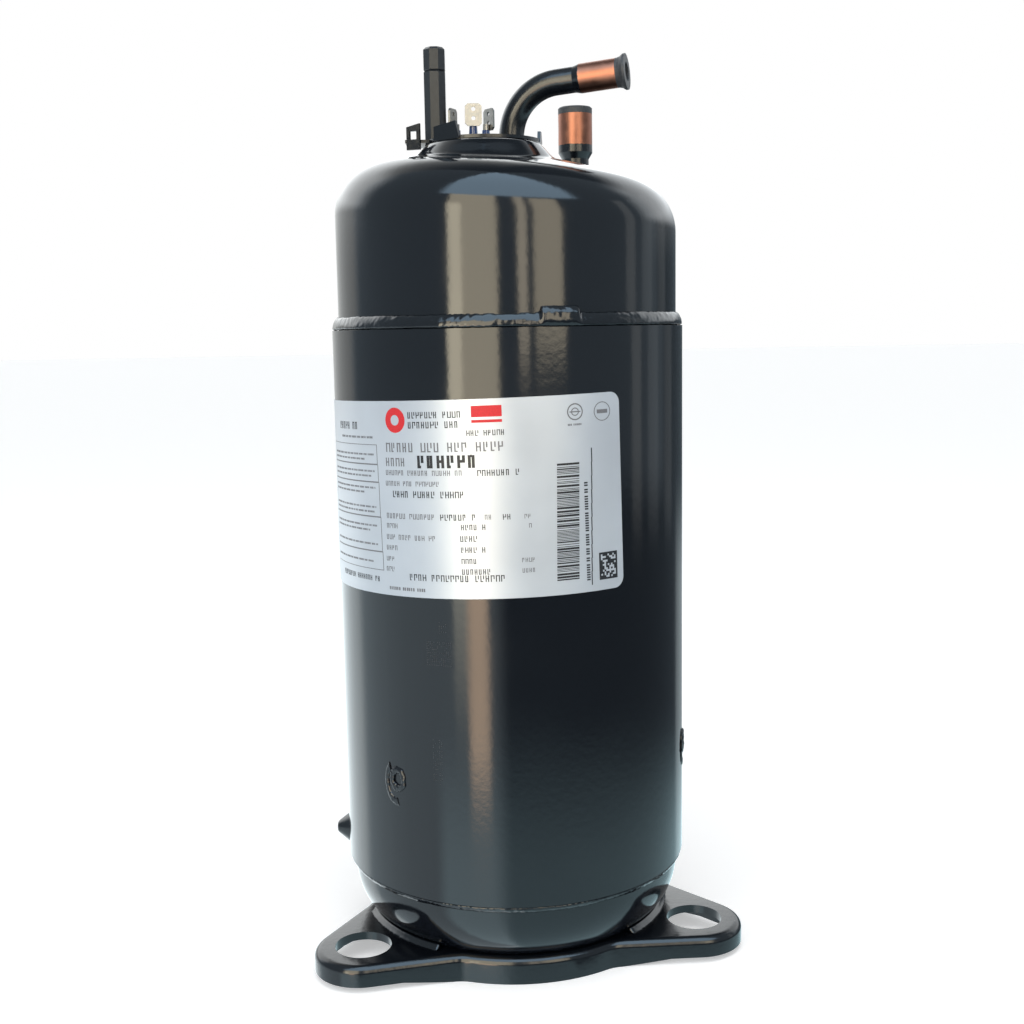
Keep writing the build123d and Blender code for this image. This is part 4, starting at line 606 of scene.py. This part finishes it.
class COMPRESSOR_OT_peened_mark(Operator):
    """Raises the square of peened dots below the label and the short marks by it"""

    bl_idname = "compressor.peened_mark"
    bl_label = "Peened mark"

    def execute(self, context):
        radius = context.scene.compressor_sizes.mark_dot
        draw = random.Random(context.scene.compressor_sizes.print_seed)
        clear_selection()
        bpy.ops.mesh.primitive_cone_add(vertices=8, radius1=radius, radius2=radius * 0.35, depth=DOT_DEPTH)
        dot = named("peened_dot")
        bpy.ops.object.mode_set(mode="EDIT")
        bpy.ops.mesh.select_all(action="SELECT")
        bpy.ops.mesh.bevel(offset=0.05 * MM, segments=1)
        bpy.ops.object.mode_set(mode="OBJECT")
        spots = []
        for azimuth, height, step_across, step_down, columns, rows, share, edged, gap in MARKS:
            for row in range(rows):
                if gap and row % gap == 0:
                    continue
                for column in range(columns):
                    on_edge = edged and (column == 0 or row == rows - 1)
                    if on_edge or draw.random() < share:
                        spots.append((azimuth + column * step_across, (height - row * step_down) * MM))
        dots = []
        for azimuth, z in spots:
            copy = bpy.data.objects.new("dot", dot.data.copy())
            copy.matrix_world = turn_to_azimuth(math.radians(azimuth), SHELL_RADIUS, z)
            context.scene.collection.objects.link(copy)
            dots.append(copy)
        bpy.data.objects.remove(dot)
        pick(*dots)
        bpy.ops.object.join()
        mark = settle(named("peened_mark"))
        smooth(mark, 40)
        dress(mark, make_dull("burred_paint", (0.055, 0.056, 0.060, 1), 0.30, 900, 0.3))
        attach(mark, "housing")
        return {"FINISHED"}


# Print of the label. Each row: distance of its left and right end from the label's right edge and the
# height of its top and bottom above the lower edge, all in mm, then the ink and the style.
PRINT_ROWS = (
    (91.9, 43.8, 56.8, 53.4, "grey", "words"),
    (92.3, 81.0, 51.3, 48.2, "grey", "words"),
    (77.7, 54.7, 52.2, 47.6, "black", "bold"),
    (92.6, 59.2, 46.8, 44.9, "grey", "words"),
    (54.7, 38.8, 46.8, 44.6, "black", "words"),
    (92.9, 68.2, 42.8, 41.0, "grey", "words"),
    (89.5, 58.9, 39.2, 36.8, "black", "words"),
    (93.2, 71.6, 30.9, 28.9, "grey", "words"),
    (69.4, 56.0, 30.9, 28.7, "black", "words"),
    (52.7, 49.8, 30.7, 28.9, "grey", "words"),
    (46.2, 42.0, 30.7, 28.7, "black", "words"),
    (38.5, 35.6, 30.4, 28.8, "grey", "words"),
    (93.4, 88.0, 27.1, 25.3, "grey", "words"),
    (61.6, 51.4, 27.2, 25.2, "black", "words"),
    (37.0, 35.6, 27.0, 25.4, "grey", "words"),
    (93.7, 71.6, 23.0, 21.1, "grey", "words"),
    (62.1, 54.9, 23.1, 21.0, "black", "words"),
    (94.0, 88.5, 18.9, 17.1, "grey", "words"),
    (62.0, 51.8, 19.0, 17.0, "black", "words"),
    (94.3, 90.0, 14.7, 13.0, "grey", "words"),
    (62.0, 55.3, 14.8, 12.9, "black", "words"),
    (40.0, 34.7, 14.6, 13.0, "grey", "words"),
    (94.6, 90.0, 10.9, 9.1, "grey", "words"),
    (62.0, 51.0, 11.0, 9.0, "black", "words"),
    (40.0, 34.7, 10.8, 9.2, "grey", "words"),
    (83.4, 44.8, 8.7, 6.3, "black", "words"),
    (93.5, 76.7, 3.4, 2.2, "grey", "words"),
    (81.0, 58.4, 67.9, 65.6, "black", "words"),
    (81.0, 60.0, 64.4, 62.0, "black", "words"),
    (58.0, 43.6, 61.0, 59.0, "black", "words"),
    (21.4, 15.6, 61.6, 60.9, "grey", "words"),
    (126.0, 107.5, 64.2, 61.4, "black", "words"),
    (124.0, 99.0, 59.0, 58.2, "grey", "words"),
    (136.0, 98.5, 52.6, 51.9, "grey", "words"),
    (136.0, 104.0, 50.8, 50.1, "grey", "words"),
    (136.0, 98.5, 46.4, 45.7, "grey", "words"),
    (136.0, 101.0, 44.6, 43.9, "grey", "words"),
    (136.0, 98.5, 40.2, 39.5, "grey", "words"),
    (136.0, 106.0, 38.4, 37.7, "grey", "words"),
    (136.0, 98.5, 33.0, 32.3, "grey", "words"),
    (136.0, 100.0, 31.2, 30.5, "grey", "words"),
    (136.0, 98.5, 26.0, 25.3, "grey", "words"),
    (136.0, 103.0, 24.2, 23.5, "grey", "words"),
    (136.0, 98.5, 19.0, 18.3, "grey", "words"),
    (136.0, 102.0, 12.4, 11.7, "grey", "words"),
    (128.0, 98.0, 6.6, 4.6, "black", "words"),
)
PRINT_BOXES = ((137.5, 97.0, 56.0, 48.6), (137.5, 96.8, 48.6, 42.0), (137.5, 96.6, 42.0, 29.0),
               (137.5, 96.4, 29.0, 16.0), (137.5, 96.2, 16.0, 9.0))
INKS = ("film", "grey", "black", "red")


class LabelPrint:
    """Lays flat blocks of ink on the label, all copied from one block."""

    def __init__(self, right_edge, lower_edge, seed, inks):
        clear_selection()
        bpy.ops.mesh.primitive_plane_add(size=1, rotation=(math.pi / 2, 0, 0))
        self.block = settle(named("ink_block"))
        dress(self.block, *inks)
        self.inks = inks
        self.right_edge = right_edge
        self.lower_edge = lower_edge
        self.draw = random.Random(seed)
        self.copies = []

    def lay(self, left, right, top, bottom, ink):
        """One block between two distances from the right edge and two heights, in mm."""
        copy = bpy.data.objects.new("ink", self.block.data.copy())
        copy.scale = ((left - right) * MM, 1, (top - bottom) * MM)
        across = self.right_edge - (left + right) / 2 * MM
        copy.location = (across, -INK_LIFT, self.lower_edge + (top + bottom) / 2 * MM)
        bpy.context.scene.collection.objects.link(copy)
        for polygon in copy.data.polygons:
            polygon.material_index = INKS.index(ink)
        self.copies.append(copy)
        return copy

    def words(self, left, right, top, bottom, ink, style):
        """A line of greeked words: small blocks with gaps, wider gaps between words."""
        height = top - bottom
        pitch = height * (0.86 if style == "bold" else 0.78)
        place = left
        left_in_word = self.draw.randint(3, 8)
        while place - pitch * 0.8 > right:
            width = pitch * self.draw.uniform(0.55, 0.80)
            if left_in_word:
                if height > 1.5:
                    stroke = height * (0.24 if style == "bold" else 0.15)
                    low = bottom + height * self.draw.choice((0.0, 0.0, 0.42))
                    self.lay(place, place - stroke, top, bottom, ink)
                    self.lay(place - width + stroke, place - width, top, low, ink)
                    bar = bottom + height * self.draw.choice((0.0, 0.42, 0.84))
                    self.lay(place - stroke, place - width + stroke, bar + stroke * 0.9, bar, ink)
                else:
                    self.lay(place, place - width, top, bottom, ink)
                left_in_word -= 1
            else:
                left_in_word = self.draw.randint(3, 8)
            place -= pitch

    def ring(self, middle, height, radius, thickness, ink):
        """A round mark made of short chords."""
        count = 28
        for step in range(count):
            angle = 2 * math.pi * step / count
            chord = self.lay(middle, middle - 0.001, height, height - 0.001, ink)
            length = 2 * radius * math.tan(math.pi / count) * MM * 1.05
            chord.scale = (length, 1, thickness * MM)
            chord.rotation_euler = (0, -angle, 0)
            chord.location += Vector((-math.sin(angle), 0, math.cos(angle))) * radius * MM

    def disc(self, middle, height, radius, ink, sides, lift=INK_LIFT):
        """A round patch of ink."""
        clear_selection()
        place = (self.right_edge - middle * MM, -lift, self.lower_edge + height * MM)
        bpy.ops.mesh.primitive_circle_add(
            vertices=sides, radius=radius * MM, fill_type="NGON", location=place,
            rotation=(math.pi / 2, 0, 0),
        )
        disc = named("ink_disc")
        dress(disc, *self.inks)
        for polygon in disc.data.polygons:
            polygon.material_index = INKS.index(ink)
        self.copies.append(disc)


class COMPRESSOR_OT_rating_label(Operator):
    """Makes the tilted silver label with its generic, unreadable print"""

    bl_idname = "compressor.rating_label"
    bl_label = "Rating label"

    def execute(self, context):
        sizes = context.scene.compressor_sizes
        colours = context.scene.compressor_colours
        right_edge = LABEL_RIGHT_AZIMUTH * LABEL_RADIUS
        left_edge = LABEL_LEFT_AZIMUTH * LABEL_RADIUS
        lower_edge = -LABEL_HEIGHT / 2
        clear_selection()
        middle = (right_edge + left_edge) / 2
        bpy.ops.mesh.primitive_plane_add(size=1, rotation=(math.pi / 2, 0, 0), location=(middle, 0, 0))
        label = named("rating_label")
        label.scale = (right_edge - left_edge, LABEL_HEIGHT, 1)
        settle(label)
        bpy.ops.object.mode_set(mode="EDIT")
        bpy.ops.mesh.select_all(action="SELECT")
        bpy.ops.mesh.bevel(affect="VERTICES", offset=sizes.label_corner, segments=8)
        bpy.ops.object.mode_set(mode="OBJECT")
        inks = (
            make_label_film("label_film", colours.label),
            make_ink("label_grey_ink", colours.grey_ink),
            make_ink("label_black_ink", colours.black_ink),
            make_ink("label_red_ink", colours.red_ink),
        )
        dress(label, *inks)
        press = LabelPrint(right_edge, lower_edge, sizes.print_seed, inks)
        for row in PRINT_ROWS:
            press.words(*row)
        for left, right, top, bottom in PRINT_BOXES:
            press.lay(left, right, top, top - 0.25, "grey")
            press.lay(left, right, bottom + 0.25, bottom, "grey")
            press.lay(right + 0.25, right, top, bottom, "grey")
        self.codes(press)
        press.ring(18.5, 65.8, 2.8, 0.45, "grey")
        press.ring(18.5, 65.8, 1.3, 0.35, "grey")
        press.lay(20.6, 16.4, 66.0, 65.6, "grey")
        press.ring(7.6, 65.3, 3.3, 0.3, "grey")
        press.lay(9.8, 5.4, 66.0, 64.6, "grey")
        press.disc(87.0, 65.0, 4.6, "red", 32)
        press.disc(87.0, 65.0, 1.9, "film", 32, lift=0.05 * MM)
        press.lay(56.0, 45.0, 69.6, 65.6, "red")
        press.lay(56.0, 45.0, 64.6, 63.6, "red")
        pick(label, *press.copies)
        bpy.ops.object.join()
        bpy.data.objects.remove(press.block)
        label.rotation_euler = (0, -sizes.label_tilt, 0)
        settle(label)
        bpy.ops.object.mode_set(mode="EDIT")
        across = min(vertex.co.x for vertex in label.data.vertices)
        far = max(vertex.co.x for vertex in label.data.vertices)
        for step in range(1, LABEL_FOLDS):
            bpy.ops.mesh.select_all(action="SELECT")
            cut = across + (far - across) * step / LABEL_FOLDS
            bpy.ops.mesh.bisect(plane_co=(cut, 0, 0), plane_no=(1, 0, 0))
        bpy.ops.object.mode_set(mode="OBJECT")
        apply_modifier(label, "SIMPLE_DEFORM", deform_method="BEND", deform_axis="Z",
                       angle=(far - across) / LABEL_RADIUS)
        label.location = (0, -LABEL_RADIUS, LABEL_MIDDLE_Z)
        settle(label)
        apply_modifier(label, "SOLIDIFY", thickness=LABEL_THICKNESS, offset=-1)
        smooth(label, 30)
        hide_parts("nameplate")
        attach(label, "housing")
        return {"FINISHED"}

    def codes(self, press):
        """Bars, a square of dots and a rule, in the places where such labels carry their codes."""
        draw = press.draw
        height = 47.7
        while height > 5.5:
            thickness = draw.choice((0.25, 0.25, 0.5, 0.75))
            lean = (47.7 - height) / 43 * 1.5
            press.lay(26.0 + lean, 17.5 + lean, height, height - thickness, "black")
            height -= thickness + draw.choice((0.25, 0.3, 0.55))
        for row in range(14):
            for column in range(11):
                if draw.random() < 0.55 or row in (0, 13) or column in (0, 10):
                    left = 10.7 - column * 0.72
                    top = 13.9 - row * 0.72
                    press.lay(left, left - 0.74, top, top - 0.74, "black")
        height = 40.3
        while height > 4:
            press.lay(15.9, 14.5, height, height - 0.55, "black")
            height -= draw.choice((0.9, 0.9, 1.6))
        for step in range(10):
            press.lay(12.7 + step * 0.15, 12.3 + step * 0.15, 52.5 - step * 5, 47.4 - step * 5, "black")


class COMPRESSOR_OT_stage(Operator):
    """Makes the pale floor, the soft studio surroundings and the camera"""

    bl_idname = "compressor.stage"
    bl_label = "Stage"

    def execute(self, context):
        scene = context.scene
        clear_selection()
        bpy.ops.mesh.primitive_plane_add(size=FLOOR_SIZE, location=(0, 0, FLOOR_Z))
        floor = settle(named("floor"))
        material, nodes, links, shader = new_material("floor_paper")
        shader.inputs["Base Color"].default_value = (0.88, 0.88, 0.88, 1)
        shader.inputs["Roughness"].default_value = 0.95
        shader.inputs["Specular IOR Level"].default_value = 0.1
        shader.inputs["Emission Color"].default_value = (1, 1, 1, 1)
        shader.inputs["Emission Strength"].default_value = 0.42
        dress(floor, material)
        floor.visible_glossy = False
        self.surroundings(scene)
        lights = (
            ("key_left", (-0.9, -0.9, 0.9), (0.7, 0.7), 5, (0.95, 0.98, 1.0)),
            ("top_soft", (0.1, -0.3, 1.3), (0.8, 0.8), 5, (1, 1, 1)),
        )
        for name, place, size, power, colour in lights:
            data = bpy.data.lights.new(name, "AREA")
            data.shape = "RECTANGLE"
            data.size, data.size_y = size
            data.energy = power
            data.color = colour
            light = bpy.data.objects.new(name, data)
            light.location = place
            light.visible_glossy = False
            aim = LIT_POINT - Vector(place)
            light.rotation_mode = "QUATERNION"
            light.rotation_quaternion = aim.to_track_quat("-Z", "Y")
            scene.collection.objects.link(light)
        lens = bpy.data.cameras.new("view_camera")
        lens.sensor_width = 36.0
        lens.lens = CAMERA_LENS
        lens.clip_start = 0.01
        camera = bpy.data.objects.new("view_camera", lens)
        tilt = Matrix.Rotation(CAMERA_TILT, 4, "X")
        roll = Matrix.Rotation(CAMERA_ROLL, 4, "Z")
        camera.matrix_world = Matrix.Translation(CAMERA_PLACE) @ tilt @ roll
        scene.collection.objects.link(camera)
        scene.camera = camera
        scene.view_settings.view_transform = "Standard"
        return {"FINISHED"}

    def surroundings(self, scene):
        """A dim room with tall bright panes; the eye itself sees plain white."""
        world = bpy.data.worlds.new("studio")
        scene.world = world
        world.use_nodes = True
        nodes = world.node_tree.nodes
        links = world.node_tree.links
        nodes.clear()
        coords = nodes.new("ShaderNodeTexCoord")
        level = nodes.new("ShaderNodeVectorMath")
        level.operation = "MULTIPLY"
        level.inputs[1].default_value = (1, 1, 0)
        links.new(coords.outputs["Generated"], level.inputs[0])
        heading = nodes.new("ShaderNodeVectorMath")
        heading.operation = "NORMALIZE"
        links.new(level.outputs[0], heading.inputs[0])
        height = nodes.new("ShaderNodeSeparateXYZ")
        links.new(coords.outputs["Generated"], height.inputs[0])
        total = nodes.new("ShaderNodeEmission")
        total.inputs["Color"].default_value = (0.68, 0.86, 1.0, 1)
        total.inputs["Strength"].default_value = 0.15
        shader = total.outputs[0]
        for azimuth, half_width, soft, low, high, edge, colour, strength in PANES:
            out = (math.sin(math.radians(azimuth)), -math.cos(math.radians(azimuth)), 0)
            facing = nodes.new("ShaderNodeVectorMath")
            facing.operation = "DOT_PRODUCT"
            facing.inputs[1].default_value = out
            links.new(heading.outputs[0], facing.inputs[0])
            outer = math.cos(math.radians(half_width + soft))
            inner = math.cos(math.radians(half_width))
            across = self.ramp(nodes, links, facing.outputs["Value"], outer, inner)
            above = self.ramp(nodes, links, height.outputs["Z"], low - edge, low)
            below = self.ramp(nodes, links, height.outputs["Z"], high + edge, high)
            upright = nodes.new("ShaderNodeMath")
            upright.operation = "MULTIPLY"
            links.new(above, upright.inputs[0])
            links.new(below, upright.inputs[1])
            mask = nodes.new("ShaderNodeMath")
            mask.operation = "MULTIPLY"
            links.new(upright.outputs[0], mask.inputs[0])
            links.new(across, mask.inputs[1])
            power = nodes.new("ShaderNodeMath")
            power.operation = "MULTIPLY"
            power.inputs[1].default_value = strength
            links.new(mask.outputs[0], power.inputs[0])
            pane = nodes.new("ShaderNodeEmission")
            pane.inputs["Color"].default_value = (*colour, 1)
            links.new(power.outputs[0], pane.inputs["Strength"])
            both = nodes.new("ShaderNodeAddShader")
            links.new(shader, both.inputs[0])
            links.new(pane.outputs[0], both.inputs[1])
            shader = both.outputs[0]
        white = nodes.new("ShaderNodeBackground")
        white.inputs["Color"].default_value = (1, 1, 1, 1)
        white.inputs["Strength"].default_value = 1.0
        soft = nodes.new("ShaderNodeBackground")
        soft.inputs["Color"].default_value = (0.95, 0.98, 1.0, 1)
        soft.inputs["Strength"].default_value = 0.62
        rays = nodes.new("ShaderNodeLightPath")
        mirrored = nodes.new("ShaderNodeMixShader")
        links.new(rays.outputs["Is Glossy Ray"], mirrored.inputs["Fac"])
        links.new(soft.outputs[0], mirrored.inputs[1])
        links.new(shader, mirrored.inputs[2])
        seen = nodes.new("ShaderNodeMixShader")
        links.new(rays.outputs["Is Camera Ray"], seen.inputs["Fac"])
        links.new(mirrored.outputs[0], seen.inputs[1])
        links.new(white.outputs[0], seen.inputs[2])
        output = nodes.new("ShaderNodeOutputWorld")
        links.new(seen.outputs[0], output.inputs["Surface"])

    def ramp(self, nodes, links, value, start, end):
        """Soft step of a value from start to end."""
        step = nodes.new("ShaderNodeMapRange")
        step.interpolation_type = "SMOOTHSTEP"
        step.inputs["From Min"].default_value = start
        step.inputs["From Max"].default_value = end
        links.new(value, step.inputs["Value"])
        return step.outputs["Result"]


# Panes of the room: azimuth, half width, softness (degrees), lower and upper height and edge softness
# (as the sine of the elevation), colour and strength.
PANES = (
    (0, 115, 10, -0.10, 1.3, 0.04, (0.72, 0.88, 1.0), 0.34),
    (-21.5, 14.5, 3, -0.13, 0.56, 0.03, (1.0, 0.87, 0.63), 4.6),
    (-33.5, 3.0, 3, -0.13, 0.20, 0.20, (1.0, 0.92, 0.70), 3.2),
    (10.5, 2.0, 2, 0.0, 0.55, 0.04, (1.0, 0.86, 0.64), 4.3),
    (27.5, 8.0, 3, 0.0, 0.53, 0.03, (1.0, 0.86, 0.62), 3.8),
    (5, 46, 8, 0.60, 1.30, 0.05, (0.55, 0.78, 1.0), 3.6),
    (-22, 2.0, 7, -0.30, -0.14, 0.07, (1.0, 0.66, 0.40), 5.6),
    (-95, 78, 16, -1.2, -0.14, 0.06, (0.78, 0.93, 1.0), 1.05),
    (-155, 30, 12, -1.2, 0.7, 0.3, (1.0, 1.0, 0.96), 0.75),
    (180, 60, 20, 0.25, 0.60, 0.20, (0.95, 0.98, 1.0), 1.6),
    (160, 14, 8, -1.2, -0.20, 0.10, (0.85, 0.97, 1.0), 0.40),
    (90, 2.5, 3, -0.12, 0.50, 0.05, (1.0, 1.0, 0.96), 0.5),
    (107, 4.0, 3, -0.12, 0.50, 0.05, (0.92, 0.98, 1.0), 0.30),
    (127, 3.0, 4, -0.12, 0.50, 0.05, (0.92, 0.98, 1.0), 0.20),
    (70, 115, 10, -1.2, -0.40, 0.12, (0.62, 0.92, 1.0), 0.9),
)

STEPS = (
    COMPRESSOR_OT_finish_nodes,
    COMPRESSOR_OT_painted_shell,
    COMPRESSOR_OT_weld_beads,
    COMPRESSOR_OT_plug_weld_lips,
    COMPRESSOR_OT_peened_mark,
    COMPRESSOR_OT_rating_label,
    COMPRESSOR_OT_stage,
)


class COMPRESSOR_PT_sidebar(Panel):
    """Lists the sizes, the colours and the steps"""

    bl_idname = "COMPRESSOR_PT_sidebar"
    bl_label = "Rotary compressor"
    bl_space_type = "VIEW_3D"
    bl_region_type = "UI"
    bl_category = "Compressor"

    def draw(self, context):
        for group in (context.scene.compressor_sizes, context.scene.compressor_colours):
            for name in group.__annotations__:
                self.layout.prop(group, name)
        for step in STEPS:
            self.layout.operator(step.bl_idname)


CLASSES = (CompressorColours, CompressorSizes, *STEPS, COMPRESSOR_PT_sidebar)


def register():
    for cls in CLASSES:
        bpy.utils.register_class(cls)
    bpy.types.Scene.compressor_colours = PointerProperty(type=CompressorColours)
    bpy.types.Scene.compressor_sizes = PointerProperty(type=CompressorSizes)


def unregister():
    del bpy.types.Scene.compressor_sizes
    del bpy.types.Scene.compressor_colours
    for cls in reversed(CLASSES):
        bpy.utils.unregister_class(cls)


def main():
    register()
    bpy.ops.compressor.finish_nodes()
    bpy.ops.compressor.painted_shell()
    bpy.ops.compressor.weld_beads()
    bpy.ops.compressor.plug_weld_lips()
    bpy.ops.compressor.peened_mark()
    bpy.ops.compressor.rating_label()
    bpy.ops.compressor.stage()


if __name__ == "__main__":
    main()
